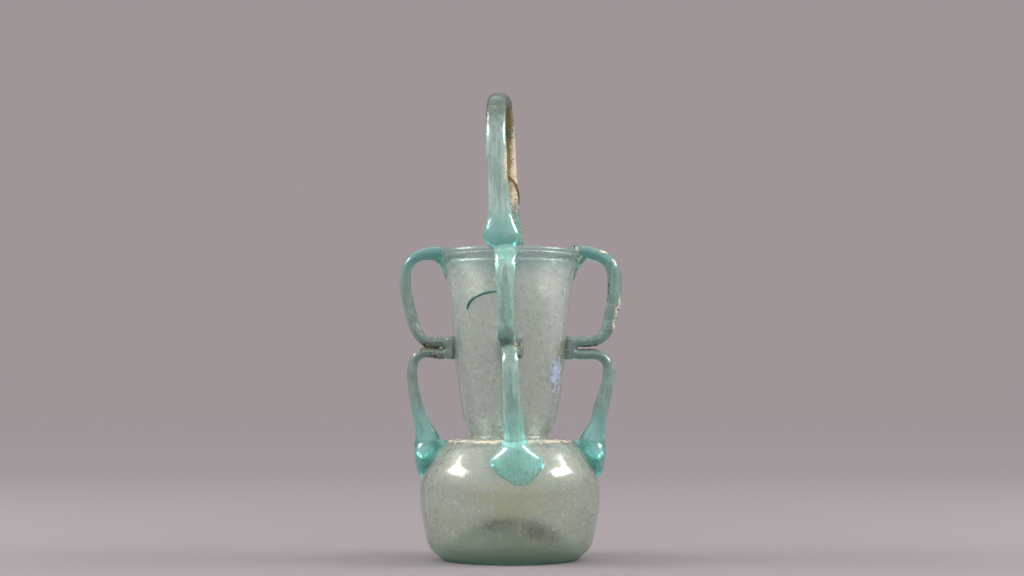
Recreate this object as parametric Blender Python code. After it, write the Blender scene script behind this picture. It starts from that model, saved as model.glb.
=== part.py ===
"""A late Roman free-blown glass jar: a hollow vessel with a pushed-in base and a funnel neck,
a basket handle over its mouth, four two-tier side handles and two thin applied threads.

Metres, +Z up. The origin is the middle of the ring that the jar stands on, and the front is -Y.
A profile is a list of corners in (distance from the axis, height), and each corner is rounded.
"""

import math

import bmesh
import bpy
from mathutils import Matrix, Vector

# Body of the vessel, outside
BODY_RADIUS = 0.0401
BODY_HEIGHT = 0.0546
SHOULDER_HEIGHT = 0.0372
CREST_RADIUS = 0.0268
CREST_DROP = 0.0005
WALL_FOOT_HEIGHT = 0.0230
HEEL_RADIUS = 0.0364
HEEL_HEIGHT = 0.0053
FOOT_RADIUS = 0.0290
FOOT_WIDTH = 0.0034
KICK_HEIGHT = 0.0135
KICK_CROWN_RADIUS = 0.0090
KICK_SHOULDER_RADIUS = 0.0190
KICK_SHOULDER_DROP = 0.0043

# Neck and lip, with rises measured up from the top of the body
NECK_FOOT_RADIUS = 0.0170
NECK_BULB_RADIUS = 0.0212
NECK_BULB_RISE = 0.0088
NECK_MIDDLE_RADIUS = 0.0247
NECK_MIDDLE_RISE = 0.0335
NECK_UPPER_RADIUS = 0.0270
NECK_UPPER_RISE = 0.0645
FLARE_RADIUS = 0.0302
FLARE_RISE = 0.0793
LIP_RADIUS = 0.0305
LIP_RISE = 0.0841
LIP_THICKNESS = 0.0025

# Thickness of the glass
BODY_WALL = 0.0018
NECK_WALL = 0.0016
BASE_WALL = 0.0030
LIP_FOLD_WALL = 0.0027

# Side handles. A reach is measured out from the part of the vessel that the trail passes.
UPPER_REACH = 0.0172
UPPER_ARM_LENGTH = 0.0152
UPPER_KNEE_RADIUS = 0.0034
LIP_ROOT_HALF_WIDTH = 0.0049
LIP_ROOT_THICKNESS = 0.0060
LIP_ROOT_OVERHANG = 0.0020
LIP_ROOT_DROP = 0.0012
LOW_ROOT_DROP = 0.0040
ARM_RISE = 0.0400
ARM_SPACING = 0.0062
ARM_THICKNESS = 0.0044
ARM_HALF_WIDTH = 0.0034
STRAP_HALF_WIDTH = 0.0040
LOWER_ARM_LIFT = 0.0010
LOWER_REACH = 0.0040
LOWER_KNEE_RADIUS = 0.0062
LOWER_WIDEST_DROP = 0.0150
WAIST_REACH = -0.0016
WAIST_RISE = 0.0016
WAIST_HALF_WIDTH = 0.0043
WAIST_THICKNESS = 0.0068
PAD_PEAK = 1.6
PAD_TIP_HALF_WIDTH = 0.0014
PAD_TIP_THICKNESS = 0.0016
FOLD_ROOT_LENGTH = 0.0047
FOLD_ROOT_HALF_HEIGHT = 0.0053
FOLD_ROOT_HALF_WIDTH = 0.0054
FOLD_ROOT_FLARE = 0.0006
FOLD_ROOT_SQUARENESS = 0.6
TAIL_LENGTH = 0.0110
TAIL_HALF_WIDTH = 0.0028
TAIL_THICKNESS = 0.0026
TAIL_TIP_HALF_WIDTH = 0.0011
TAIL_TIP_THICKNESS = 0.0013
STRAP_RIB = 0.08

# The bows of the upper tiers: the radius at the end of the arm, the fall of the arm, and the drop
# from the lip to where the bow is widest
ROUND_BOW = (0.0092, 0.0015, 0.0172)
SQUARE_BOW = (0.0080, 0.0034, 0.0215)

# The drops on the shoulder, from the waist down. Each row has the share of the way up the
# shoulder, the distance out from it, the half width and the half thickness
PAD_ROWS = (
    (0.63, 0.0058, 0.0080, 0.0066),
    (0.37, 0.0038, 0.0119, 0.0055),
    (0.18, 0.0024, 0.0091, 0.0037),
)

# Basket handle
BASKET_RISE = 0.0714
BASKET_THICKNESS = 0.0054
BASKET_HALF_WIDTH = 0.0043
BASKET_CROWN_RADIUS = 0.0270
BASKET_LEG_INSET = 0.0010
BASKET_TURN = math.radians(-4.4)
BASKET_SHIFT = -0.0011
BASKET_LEAN = -0.0034
BASKET_RIB = 0.14
FRONT_BLOB_HALF_WIDTH = 0.0079
BACK_BLOB_HALF_WIDTH = 0.0058
BLOB_THICKNESS = 0.0090
BLOB_RISE = 0.0030
BLOB_HEIGHT = 0.0195
BLOB_OVERLAP = 0.0021
BLOB_SHOULDER_SHARE = 0.84
BLOB_END_SHARE = 0.42

# Threads
NECK_THREAD_THICKNESS = 0.0013
NECK_THREAD_START = math.radians(-100)
NECK_THREAD_SPAN = math.radians(-34)
NECK_THREAD_RISE = 0.0642
NECK_THREAD_FALL = 0.0080
NECK_THREAD_STAND = 0.0006
HANDLE_THREAD_THICKNESS = 0.0009
HANDLE_THREAD_DROP = 0.0335
HANDLE_THREAD_FALL = 0.0140
HANDLE_THREAD_SWEEP = math.radians(100)
THREAD_END_SHARE = 0.45

# Touching pieces keep this gap, and a cutter is its piece grown by it
GAP = 0.0003

# Fineness of the faceted solids
VESSEL_SIDES = 32
TRAIL_SIDES = 12
TAIL_SIDES = 8
THREAD_SIDES = 6
THREAD_STEPS = 8
PROFILE_STEP = math.radians(37)
PATH_STEP = math.radians(30)
LONG_STEP = 0.0125
SHORT_STEP = 0.0042

LIP_TOP = BODY_HEIGHT + LIP_RISE
ARM_HEIGHT = BODY_HEIGHT + ARM_RISE
LIP_OPENING = math.radians(50)

GLASS_ROUGHNESS = 0.12
PALE_GLASS = (0.50, 0.58, 0.50)
TEAL_GLASS = (0.24, 0.46, 0.42)
DARK_TEAL_GLASS = (0.04, 0.22, 0.20)
STAINED_GLASS = (0.36, 0.22, 0.06)


class HandleForm:
    """How one side handle differs from the others. Its azimuth is that of the upper tier. The
    lower tier stands a step further round, and drifts on towards its drop. The root has its reach
    over the lip and its drop below it."""

    def __init__(self, name, angles, rod_thickness, bow, root, pad_drop):
        self.name = name
        self.azimuth, self.step, self.drift = [math.radians(angle) for angle in angles]
        self.rod_thickness = rod_thickness
        self.bow_radius, self.bow_sag, self.bow_drop = bow
        self.overhang, self.root_drop = root
        self.pad_drop = pad_drop

    def lean(self, height):
        """How far round from its azimuth the handle stands at a height."""
        if height > ARM_HEIGHT:
            return 0.0
        fall = (ARM_HEIGHT - height) / (ARM_HEIGHT - SHOULDER_HEIGHT)
        return self.step + self.drift * fall * fall


HIGH_ROOT = (LIP_ROOT_OVERHANG, LIP_ROOT_DROP)
LOW_ROOT = (0.0, LOW_ROOT_DROP)
LEFT = HandleForm("side_handle_left", (180, -1, -4), 0.0052, ROUND_BOW, HIGH_ROOT, 0.0004)
RIGHT = HandleForm("side_handle_right", (0, 1, 4), 0.0061, SQUARE_BOW, HIGH_ROOT, 0.0004)
FRONT = HandleForm("side_handle_front", (-92.6, 2.6, 6.5), 0.0053, ROUND_BOW, LOW_ROOT, 0.0024)
BACK = HandleForm("side_handle_back", (95.6, -1.5, -2), 0.0053, ROUND_BOW, LOW_ROOT, 0.0014)


class Corner:
    """A corner of a profile or a path: its place and how far it is rounded. A vessel's corner has
    the wall there. A trail's has its half width and half thickness, and the length of the steps
    in which the straight run up to it is divided."""

    def __init__(self, out, height, radius=0.0, wall=0.0, size=(0.0, 0.0), step=1.0):
        self.point = Vector((out, height))
        self.radius = radius
        self.wall = wall
        self.half_width, self.half_thickness = size
        self.step = step


def turn_at(before, corner, after):
    """The signed angle by which a path turns at a corner, left positive."""
    arriving = corner - before
    leaving = after - corner
    return math.atan2(arriving.cross(leaving), arriving.dot(leaving))


def turned_by(vector, angle):
    """The vector turned in its plane, left positive."""
    return Matrix.Rotation(angle, 2) @ vector


def arc_at(before, corner, after, step):
    """The points that round a corner. The arc takes less than half of each side."""
    turn = turn_at(before, corner.point, after)
    if corner.radius == 0 or abs(turn) < 1e-4:
        return [corner.point]
    arriving = corner.point - before
    leaving = after - corner.point
    per_radius = math.tan(abs(turn) / 2)
    reach = min(corner.radius * per_radius, 0.49 * arriving.length, 0.49 * leaving.length)
    start = corner.point - arriving.normalized() * reach
    side = turned_by(arriving.normalized(), math.copysign(math.pi / 2, turn))
    centre = start + side * reach / per_radius
    steps = math.ceil(abs(turn) / step)
    return [centre + turned_by(start - centre, turn * k / steps) for k in range(steps + 1)]


def rounded(corners, step):
    """A path with its corners rounded: its points, the length up to each, and the length up to
    each corner."""
    points = [corners[0].point]
    middles = [(0, 0)]
    for before, corner, after in zip(corners, corners[1:], corners[2:]):
        arc = arc_at(before.point, corner, after.point, step)
        add_run(points, arc[0], corner.step)
        first = len(points) - 1
        points += arc[1:]
        middles.append((first, len(points) - 1))
    add_run(points, corners[-1].point, corners[-1].step)
    lengths = [0.0]
    for one, other in zip(points, points[1:]):
        lengths.append(lengths[-1] + (other - one).length)
    marks = [(lengths[first] + lengths[last]) / 2 for first, last in middles]
    return points, lengths, marks + [lengths[-1]]


def add_run(points, end, longest):
    """Adds a straight run from the last point to the end, in steps no longer than longest."""
    start = points[-1].copy()
    steps = math.ceil((end - start).length / longest)
    points += [start.lerp(end, k / steps) for k in range(1, steps + 1)]


def eased(marks, values, length):
    """The value at a length, easing from the value at each mark to the next."""
    for low, high, one, other in zip(marks, marks[1:], values, values[1:]):
        if length <= high:
            share = max(0.0, (length - low) / (high - low))
            return one + (other - one) * share * share * (3 - 2 * share)
    return values[-1]


def vessel_corners():
    """The outside of the vessel, from the middle of its base out, up and in to under the lip."""
    heel_wall = (BASE_WALL + BODY_WALL) / 2
    return [
        Corner(0, KICK_HEIGHT, 0, BASE_WALL),
        Corner(KICK_CROWN_RADIUS, KICK_HEIGHT, 0.0300, BASE_WALL),
        Corner(KICK_SHOULDER_RADIUS, KICK_HEIGHT - KICK_SHOULDER_DROP, 0.0120, BASE_WALL),
        Corner(FOOT_RADIUS - FOOT_WIDTH, 0, 0.0020, BASE_WALL),
        Corner(FOOT_RADIUS, 0, 0.0025, BASE_WALL),
        Corner(HEEL_RADIUS, HEEL_HEIGHT, 0.0060, heel_wall),
        Corner(BODY_RADIUS, WALL_FOOT_HEIGHT, 0.0300, BODY_WALL),
        Corner(BODY_RADIUS, SHOULDER_HEIGHT, 0.0085, BODY_WALL),
        Corner(CREST_RADIUS, BODY_HEIGHT - CREST_DROP, 0.0045, BODY_WALL),
        Corner(NECK_FOOT_RADIUS, BODY_HEIGHT, 0.0012, NECK_WALL),
        Corner(NECK_BULB_RADIUS, BODY_HEIGHT + NECK_BULB_RISE, 0.0120, NECK_WALL),
        Corner(NECK_MIDDLE_RADIUS, BODY_HEIGHT + NECK_MIDDLE_RISE, 0.0800, NECK_WALL),
        Corner(NECK_UPPER_RADIUS, BODY_HEIGHT + NECK_UPPER_RISE, 0.0400, NECK_WALL),
        Corner(FLARE_RADIUS, BODY_HEIGHT + FLARE_RISE, 0.0100, LIP_FOLD_WALL),
    ]


def moved_corners(corners, end, distance_of):
    """The corners, each moved to the left of the path by its own distance, and the end."""
    points = [corner.point for corner in corners] + [end]
    start = corners[0].point
    moved = [Corner(start.x, start.y + distance_of(corners[0]))]
    for before, corner, after in zip(points, corners[1:], points[2:]):
        turn = turn_at(before, corner.point, after)
        distance = distance_of(corner)
        left = turned_by((corner.point - before).normalized(), (math.pi + turn) / 2)
        place = corner.point + left * distance / math.cos(turn / 2)
        radius = max(corner.radius - math.copysign(distance, turn * distance), GAP)
        moved.append(Corner(place.x, place.y, radius))
    return moved + [Corner(end.x, end.y)]


def vessel_outline(grow=0.0, filled=False):
    """The outline of the glass, both its ends on the axis. A filled one has no hollow."""
    centre = Vector((LIP_RADIUS, LIP_TOP - LIP_THICKNESS / 2))
    radius = LIP_THICKNESS / 2 + grow
    sweep = math.pi / 2 + LIP_OPENING if filled else math.pi + 2 * LIP_OPENING
    steps = math.ceil(sweep / PROFILE_STEP)
    first = turned_by(Vector((radius, 0)), -LIP_OPENING)
    lip = [centre + turned_by(first, sweep * k / steps) for k in range(steps + 1)]
    corners = vessel_corners()
    outer, _, _ = rounded(moved_corners(corners, lip[0], lambda corner: -grow), PROFILE_STEP)
    if filled:
        return outer + lip[1:] + [Vector((0, lip[-1].y))]
    walls = moved_corners(corners, lip[-1], lambda corner: corner.wall + grow)
    inner, _, _ = rounded(walls, PROFILE_STEP)
    return outer + lip[1:-1] + inner[::-1]


def neck_radius(height):
    """The outer radius of the neck at a height."""
    corners = [corner.point for corner in vessel_corners()[9:]]
    for low, high in zip(corners, corners[1:]):
        if height <= high.y:
            return low.x + (high.x - low.x) * (height - low.y) / (high.y - low.y)
    return LIP_RADIUS


def finished(name, bm, material):
    """A smooth-shaded object made from the mesh, with its faces turned out."""
    bmesh.ops.recalc_face_normals(bm, faces=bm.faces)
    mesh = bpy.data.meshes.new(name)
    bm.to_mesh(mesh)
    bm.free()
    mesh.shade_smooth()
    mesh.set_sharp_from_angle(angle=math.radians(50))
    mesh.materials.append(material)
    item = bpy.data.objects.new(name, mesh)
    bpy.context.scene.collection.objects.link(item)
    return item


def turned(name, outline, material):
    """A solid of revolution from an outline whose two ends lie on the axis."""
    bm = bmesh.new()
    verts = [bm.verts.new((point.x, 0, point.y)) for point in outline]
    edges = [bm.edges.new(pair) for pair in zip(verts, verts[1:])]
    bmesh.ops.spin(
        bm, geom=verts + edges, cent=(0, 0, 0), axis=(0, 0, 1), angle=math.tau,
        steps=VESSEL_SIDES, use_merge=True,
    )
    bmesh.ops.remove_doubles(bm, verts=bm.verts, dist=1e-6)
    return finished(name, bm, material)


def lofted(name, rings, material):
    """A solid through rings of points: the first ring is a face, extruded from ring to ring."""
    bm = bmesh.new()
    first = [bm.verts.new(point) for point in rings[0]]
    face = bm.faces.new(first)
    for ring in rings[1:]:
        face = bmesh.ops.extrude_discrete_faces(bm, faces=[face])["faces"][0]
        for vert, point in zip(face.verts, ring):
            vert.co = point
    bm.faces.new(first)
    return finished(name, bm, material)


def section(sides, half_width, half_thickness, peak=1.0, rib=0.0, squareness=1.0):
    """Points (across, out) around a trail. A peak narrows the outer side to a ridge, and a rib
    sinks two grooves in it."""
    points = []
    for k in range(sides):
        angle = math.tau * k / sides
        across = math.copysign(abs(math.cos(angle)) ** squareness, math.cos(angle))
        out = math.copysign(abs(math.sin(angle)) ** squareness, math.sin(angle))
        if out > 0:
            out = out**peak * (1 - rib * (1 + math.cos(6 * angle)) / 2)
        points.append((across * half_width, out * half_thickness))
    return points


def swept(name, corners, material, sides=TRAIL_SIDES, grow=0.0, lean_of=None, shift_of=None,
          peak=1.0, rib=0.0, squareness=1.0):
    """A trail of glass along a path in an upright plane through the axis. It takes its width and
    thickness from the corners. With height the plane leans round the axis by lean_of, and shifts
    sideways by shift_of. A peak sharpens the outer side where the trail is at its widest."""
    points, lengths, marks = rounded(corners, PATH_STEP)
    widths = [corner.half_width for corner in corners]
    depths = [corner.half_thickness for corner in corners]
    widest = max(widths)
    spots = []
    for point in points:
        lean = lean_of(point.y) if lean_of else 0.0
        side = Vector((-math.sin(lean), math.cos(lean), 0))
        place = Vector((point.x * math.cos(lean), point.x * math.sin(lean), point.y))
        spots.append((place + side * (shift_of(point.y) if shift_of else 0.0), side))
    rings = []
    for index, (place, side) in enumerate(spots):
        before = spots[max(index - 1, 0)][0]
        after = spots[min(index + 1, len(spots) - 1)][0]
        out = (after - before).cross(side).normalized()
        width = eased(marks, widths, lengths[index])
        depth = eased(marks, depths, lengths[index])
        sharp = 1 + (peak - 1) * width / widest
        shape = section(sides, width + grow, depth + grow, sharp, rib, squareness)
        rings.append([place + side * across + out * rise for across, rise in shape])
    return lofted(name, rings, material)


def hidden(item):
    """Makes the object a helper that takes no part in the model itself."""
    item.hide_render = True
    item.display_type = "WIRE"
    return item


def combined(item, other, operation):
    """Adds a Boolean with the other object, which becomes a helper."""
    boolean = item.modifiers.new(f"{operation.lower()} {other.name}", "BOOLEAN")
    boolean.operation = operation
    boolean.solver = "EXACT"
    boolean.object = hidden(other)


def glass(name, colour):
    """A Principled glass of one colour."""
    material = bpy.data.materials.new(name)
    material.use_nodes = True
    shader = material.node_tree.nodes["Principled BSDF"]
    shader.inputs["Base Color"].default_value = (*colour, 1)
    shader.inputs["Roughness"].default_value = GLASS_ROUGHNESS
    shader.inputs["Metallic"].default_value = 0.0
    shader.inputs["Transmission Weight"].default_value = 0.6
    return material


def upper_corners(form):
    """The upper tier: from the lip out, down its bow, and back in to the pinch on the neck."""
    reach = LIP_RADIUS + UPPER_REACH
    root_height = LIP_TOP - form.root_drop
    knee_height = ARM_HEIGHT + ARM_SPACING / 2
    neck = neck_radius(knee_height)
    root = (LIP_ROOT_HALF_WIDTH, LIP_ROOT_THICKNESS / 2)
    strap = (STRAP_HALF_WIDTH, form.rod_thickness / 2)
    arm = (ARM_HALF_WIDTH, ARM_THICKNESS / 2)
    return [
        Corner(LIP_RADIUS - form.overhang, root_height, size=root),
        Corner(reach, root_height - form.bow_sag, form.bow_radius, size=strap),
        Corner(reach, LIP_TOP - form.bow_drop, 0.040, size=strap),
        Corner(neck + UPPER_ARM_LENGTH, knee_height, UPPER_KNEE_RADIUS, size=arm, step=LONG_STEP),
        Corner(neck + FOLD_ROOT_LENGTH / 2, knee_height, size=arm),
    ]


def pad_corners():
    """The rows of a drop, placed against the shoulder of the vessel."""
    low = Vector((BODY_RADIUS, SHOULDER_HEIGHT))
    high = Vector((CREST_RADIUS, BODY_HEIGHT - CREST_DROP))
    out = turned_by((low - high).normalized(), math.pi / 2)
    corners = []
    for share, stand, half_width, half_thickness in PAD_ROWS:
        place = low.lerp(high, share) + out * stand
        corners.append(Corner(*place, size=(half_width, half_thickness), step=SHORT_STEP))
    return corners


def lower_corners(form):
    """The lower tier: from the pinch out, down its bow, and over the shoulder as a drop."""
    reach = BODY_RADIUS + LOWER_REACH
    arm_height = ARM_HEIGHT - ARM_SPACING / 2
    neck = neck_radius(arm_height)
    arm = (ARM_HALF_WIDTH, ARM_THICKNESS / 2)
    strap = (ARM_HALF_WIDTH, form.rod_thickness / 2)
    waist = (WAIST_HALF_WIDTH, WAIST_THICKNESS / 2)
    tip = (PAD_TIP_HALF_WIDTH, PAD_TIP_THICKNESS / 2)
    return [
        Corner(neck + FOLD_ROOT_LENGTH / 2, arm_height, size=arm),
        Corner(reach, arm_height + LOWER_ARM_LIFT, LOWER_KNEE_RADIUS, size=arm),
        Corner(reach, arm_height - LOWER_WIDEST_DROP, 0.030, size=strap),
        Corner(BODY_RADIUS + WAIST_REACH, BODY_HEIGHT + WAIST_RISE, 0.006, size=waist,
               step=LONG_STEP),
        *pad_corners(),
        Corner(BODY_RADIUS + GAP, SHOULDER_HEIGHT - form.pad_drop, size=tip, step=SHORT_STEP),
    ]


def fold_root_corners():
    """The pressed block that holds the pinched trail to the neck."""
    neck = neck_radius(ARM_HEIGHT)
    width = FOLD_ROOT_HALF_WIDTH
    height = FOLD_ROOT_HALF_HEIGHT
    flare = FOLD_ROOT_FLARE
    return [
        Corner(neck - NECK_WALL, ARM_HEIGHT, size=(width + flare, height + flare)),
        Corner(neck + FOLD_ROOT_LENGTH / 2, ARM_HEIGHT, size=(width, height)),
        Corner(neck + FOLD_ROOT_LENGTH, ARM_HEIGHT, size=(width - flare, height - flare / 2)),
    ]


def lip_tail_corners(form):
    """The thin tail of glass that runs down the flare of the neck under the upper root."""
    low = LIP_TOP - form.root_drop - TAIL_LENGTH
    root_height = LIP_TOP - form.root_drop - LIP_ROOT_THICKNESS / 3
    tip = (TAIL_TIP_HALF_WIDTH, TAIL_TIP_THICKNESS / 2)
    middle = (TAIL_HALF_WIDTH, TAIL_THICKNESS / 2)
    flare_height = min(BODY_HEIGHT + FLARE_RISE, root_height - TAIL_LENGTH / 4)
    return [
        Corner(neck_radius(low), low, size=tip),
        Corner(neck_radius(flare_height), flare_height, 0.010, size=middle),
        Corner(LIP_RADIUS + LIP_THICKNESS / 2, root_height,
               size=(LIP_ROOT_HALF_WIDTH, TAIL_THICKNESS / 2)),
    ]


def side_handle(form, material, vessel_space, axis):
    """One two-tier side handle: two tiers, the block at the pinch and the tail at the lip."""
    handle = swept(form.name, upper_corners(form), material, lean_of=form.lean, rib=STRAP_RIB)
    lower = swept(f"{form.name} lower tier", lower_corners(form), material, lean_of=form.lean,
                  peak=PAD_PEAK, rib=STRAP_RIB)
    root = swept(f"{form.name} fold root", fold_root_corners(), material,
                 squareness=FOLD_ROOT_SQUARENESS, lean_of=lambda height: form.step / 2)
    tail = swept(f"{form.name} lip tail", lip_tail_corners(form), material, sides=TAIL_SIDES)
    for item in (handle, lower, root, tail):
        item.rotation_euler.z = form.azimuth
        item.parent = axis
    for item in (lower, root, tail):
        combined(handle, item, "UNION")
    combined(handle, vessel_space, "DIFFERENCE")


def upper_space(form, material, axis):
    """The upper tier of a side handle, grown by the gap, to cut what rests on its root."""
    space = swept(f"space of {form.name}", upper_corners(form), material, grow=GAP,
                  lean_of=form.lean)
    space.rotation_euler.z = form.azimuth
    space.parent = axis
    return space


def basket_corners():
    """The basket handle: up from the front lip, over the mouth and down to the back lip."""
    crown = LIP_TOP + BASKET_RISE - BASKET_THICKNESS / 2
    leg = LIP_RADIUS - BASKET_LEG_INSET
    strap = (BASKET_HALF_WIDTH, BASKET_THICKNESS / 2)

    def foot(side, half_width, steps):
        blob = Vector((half_width, BLOB_THICKNESS / 2))
        shoulder = LIP_TOP + (BLOB_RISE - BLOB_OVERLAP) / 2
        return [
            Corner(side * LIP_RADIUS, LIP_TOP - BLOB_OVERLAP, size=blob * BLOB_END_SHARE),
            Corner(side * LIP_RADIUS, shoulder, size=blob * BLOB_SHOULDER_SHARE),
            Corner(side * LIP_RADIUS, LIP_TOP + BLOB_RISE, size=blob, step=steps[0]),
            Corner(side * leg, LIP_TOP + BLOB_HEIGHT, size=strap, step=steps[1]),
        ]

    rising = foot(-1, FRONT_BLOB_HALF_WIDTH, (SHORT_STEP, SHORT_STEP))
    falling = foot(1, BACK_BLOB_HALF_WIDTH, (SHORT_STEP, LONG_STEP))[::-1]
    over = [
        Corner(side * leg, crown, BASKET_CROWN_RADIUS, size=strap, step=LONG_STEP)
        for side in (-1, 1)
    ]
    return rising + over + falling


def basket_shift(height):
    """How far the basket handle stands from the axis at a height, to the left."""
    share = max(0.0, (height - LIP_TOP) / BASKET_RISE)
    return -BASKET_SHIFT - BASKET_LEAN * math.sin(share * math.pi / 2)


def basket_handle(material, spaces, axis):
    """The strap over the mouth, cut by the pieces that its two drops sit on."""
    handle = swept("basket_handle", basket_corners(), material, shift_of=basket_shift,
                   rib=BASKET_RIB)
    handle.rotation_euler.z = math.pi / 2 + BASKET_TURN
    handle.parent = axis
    for space in spaces:
        combined(handle, space, "DIFFERENCE")


def thread(name, route, thickness, material):
    """A thin round thread along a route of points, with the outward direction at each."""
    rings = []
    for index, (place, out) in enumerate(route):
        before = route[max(index - 1, 0)][0]
        after = route[min(index + 1, len(route) - 1)][0]
        side = (after - before).cross(out).normalized()
        taper = THREAD_END_SHARE if index in (0, len(route) - 1) else 1.0
        shape = section(THREAD_SIDES, thickness / 2 * taper, thickness / 2 * taper)
        rings.append([place + side * across + out * rise for across, rise in shape])
    return lofted(name, rings, material)


def neck_thread(material, vessel_space, axis):
    """A thread laid on the neck, level at first and then curling down in a quarter ellipse."""
    route = []
    for k in range(THREAD_STEPS + 1):
        share = math.pi / 2 * k / THREAD_STEPS
        azimuth = NECK_THREAD_START + NECK_THREAD_SPAN * math.sin(share)
        height = BODY_HEIGHT + NECK_THREAD_RISE - NECK_THREAD_FALL * (1 - math.cos(share))
        out = Vector((math.cos(azimuth), math.sin(azimuth), 0))
        stand = neck_radius(height) + NECK_THREAD_STAND
        route.append((out * stand + Vector((0, 0, height)), out))
    item = thread("neck_thread", route, NECK_THREAD_THICKNESS, material)
    item.parent = axis
    combined(item, vessel_space, "DIFFERENCE")


def handle_thread(material, axis):
    """A thread on the inner face of the back leg, which runs down and round its right edge."""
    half_width = BASKET_HALF_WIDTH + HANDLE_THREAD_THICKNESS / 2 + GAP
    half_depth = BASKET_THICKNESS / 2 + HANDLE_THREAD_THICKNESS / 2 + GAP
    top = LIP_TOP + BASKET_RISE - HANDLE_THREAD_DROP
    leg = LIP_RADIUS - BASKET_LEG_INSET
    route = []
    for k in range(THREAD_STEPS + 1):
        share = k / THREAD_STEPS
        around = HANDLE_THREAD_SWEEP * math.sin(share * math.pi / 2)
        height = top - HANDLE_THREAD_FALL * share
        out = Vector((-math.cos(around), -math.sin(around), 0))
        place = Vector((leg - half_depth * math.cos(around), -half_width * math.sin(around), height))
        place.y += basket_shift(height)
        route.append((place, out))
    item = thread("handle_thread", route, HANDLE_THREAD_THICKNESS, material)
    item.rotation_euler.z = math.pi / 2 + BASKET_TURN
    item.parent = axis


def main():
    for item in list(bpy.data.objects):
        bpy.data.objects.remove(item)
    pale = glass("pale blown glass", PALE_GLASS)
    teal = glass("teal trailed glass", TEAL_GLASS)
    axis = bpy.data.objects.new("jar axis", None)
    bpy.context.scene.collection.objects.link(axis)

    vessel = turned("blown_vessel", vessel_outline(), pale)
    vessel.parent = axis
    vessel_space = hidden(turned("space of the vessel", vessel_outline(GAP, True), pale))
    lip_space = hidden(turned("space of the lip", vessel_outline(GAP), pale))
    vessel_space.parent = lip_space.parent = axis

    for form in (LEFT, RIGHT, FRONT, BACK):
        side_handle(form, teal, vessel_space, axis)
    spaces = [lip_space] + [upper_space(form, teal, axis) for form in (FRONT, BACK)]
    basket_handle(teal, spaces, axis)
    neck_thread(glass("dark teal thread", DARK_TEAL_GLASS), vessel_space, axis)
    handle_thread(glass("brown-stained thread", STAINED_GLASS), axis)


if __name__ == "__main__":
    main()
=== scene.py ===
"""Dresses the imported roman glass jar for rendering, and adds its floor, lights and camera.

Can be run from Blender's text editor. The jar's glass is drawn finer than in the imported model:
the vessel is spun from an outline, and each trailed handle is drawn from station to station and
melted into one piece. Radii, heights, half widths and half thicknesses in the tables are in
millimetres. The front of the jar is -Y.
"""

import math

import bmesh
import bpy
from bpy.props import FloatProperty, FloatVectorProperty, IntProperty, PointerProperty
from bpy.types import Operator, Panel, PropertyGroup
from mathutils import Matrix, Vector, noise


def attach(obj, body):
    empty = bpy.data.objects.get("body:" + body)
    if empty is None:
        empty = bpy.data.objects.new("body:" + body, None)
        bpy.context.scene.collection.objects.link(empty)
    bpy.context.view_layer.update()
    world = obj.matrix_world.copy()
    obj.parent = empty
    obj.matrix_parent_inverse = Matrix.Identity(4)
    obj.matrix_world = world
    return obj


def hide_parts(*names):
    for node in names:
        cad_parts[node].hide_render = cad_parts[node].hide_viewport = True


bl_info = {
    "name": "Roman Glass Jar",
    "version": (1, 0, 0),
    "blender": (4, 5, 0),
    "location": "3D View > Sidebar > Glass Jar",
    "description": "Blown and trailed glass for a late Roman jar with a basket handle",
    "category": "Object",
}

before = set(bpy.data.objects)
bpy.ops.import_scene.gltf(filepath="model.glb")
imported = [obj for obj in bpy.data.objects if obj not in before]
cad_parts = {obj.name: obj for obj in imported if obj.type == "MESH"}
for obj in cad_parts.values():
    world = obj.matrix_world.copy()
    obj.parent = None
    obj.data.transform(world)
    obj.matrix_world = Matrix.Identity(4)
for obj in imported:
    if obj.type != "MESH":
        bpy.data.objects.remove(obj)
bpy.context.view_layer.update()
MM = 0.001
GLASS_IOR = 1.5

# The outside of the vessel from the middle of its base to under the lip: radius, height, how far
# the corner is rounded, and the thickness of the wall there. The neck starts at its own corner
VESSEL_CORNERS = (
    (0.0, 15.2, 0.0, 3.0),
    (8.5, 15.0, 24.0, 3.0),
    (19.0, 10.2, 14.0, 3.0),
    (25.6, 0.0, 2.0, 3.0),
    (29.6, 0.0, 4.0, 3.0),
    (36.6, 5.6, 11.0, 2.4),
    (40.1, 23.0, 30.0, 1.8),
    (40.5, 37.0, 26.0, 1.8),
    (31.5, 50.5, 20.0, 1.8),
    (25.4, 54.3, 4.5, 1.8),
    (17.0, 54.6, 1.2, 1.6),
    (21.2, 63.4, 12.0, 1.6),
    (24.7, 88.1, 80.0, 1.6),
    (27.0, 119.1, 40.0, 1.6),
    (29.88, 132.3, 0.6, 1.75),
    (30.07, 133.1, 0.6, 2.5),
    (30.3, 134.3, 8.0, 2.7),
)
NECK_START = 10
# The pushed-in base, whose upper face looks into the hollow: its radius and height
KICK_RADIUS = 25.0
KICK_TOP = 17.5
# The outline of the rounded lip: centre, radius, how far beyond a half turn it goes on either side
# where it runs into the wall, and in how many steps it is drawn
LIP_CENTRE = Vector((30.5, 137.45))
LIP_RADIUS = 1.25
LIP_OPENING = math.radians(50)
LIP_STEPS = 20
# The most that the vessel's outline turns from point to point
OUTLINE_TURN = math.radians(7)
# The space that the vessel takes up, which the handles rest against: longest step along its
# outline, and steps round it
SPACE_STEP = 2.0
SPACE_SIDES = 96

# Where the side handles are pinched to the neck, where their folds start to lean and by what step
# up that is complete, and at what height their lower tiers have drifted as far as they say
PINCH_HEIGHT = 94.6
FOLD_TOP = 97.6
FOLD_SPAN = -5.9
DRIFT_END = 37.2
# What melting takes off a trail all round, made up for when it is drawn
MELT_LOSS = 0.22
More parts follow.
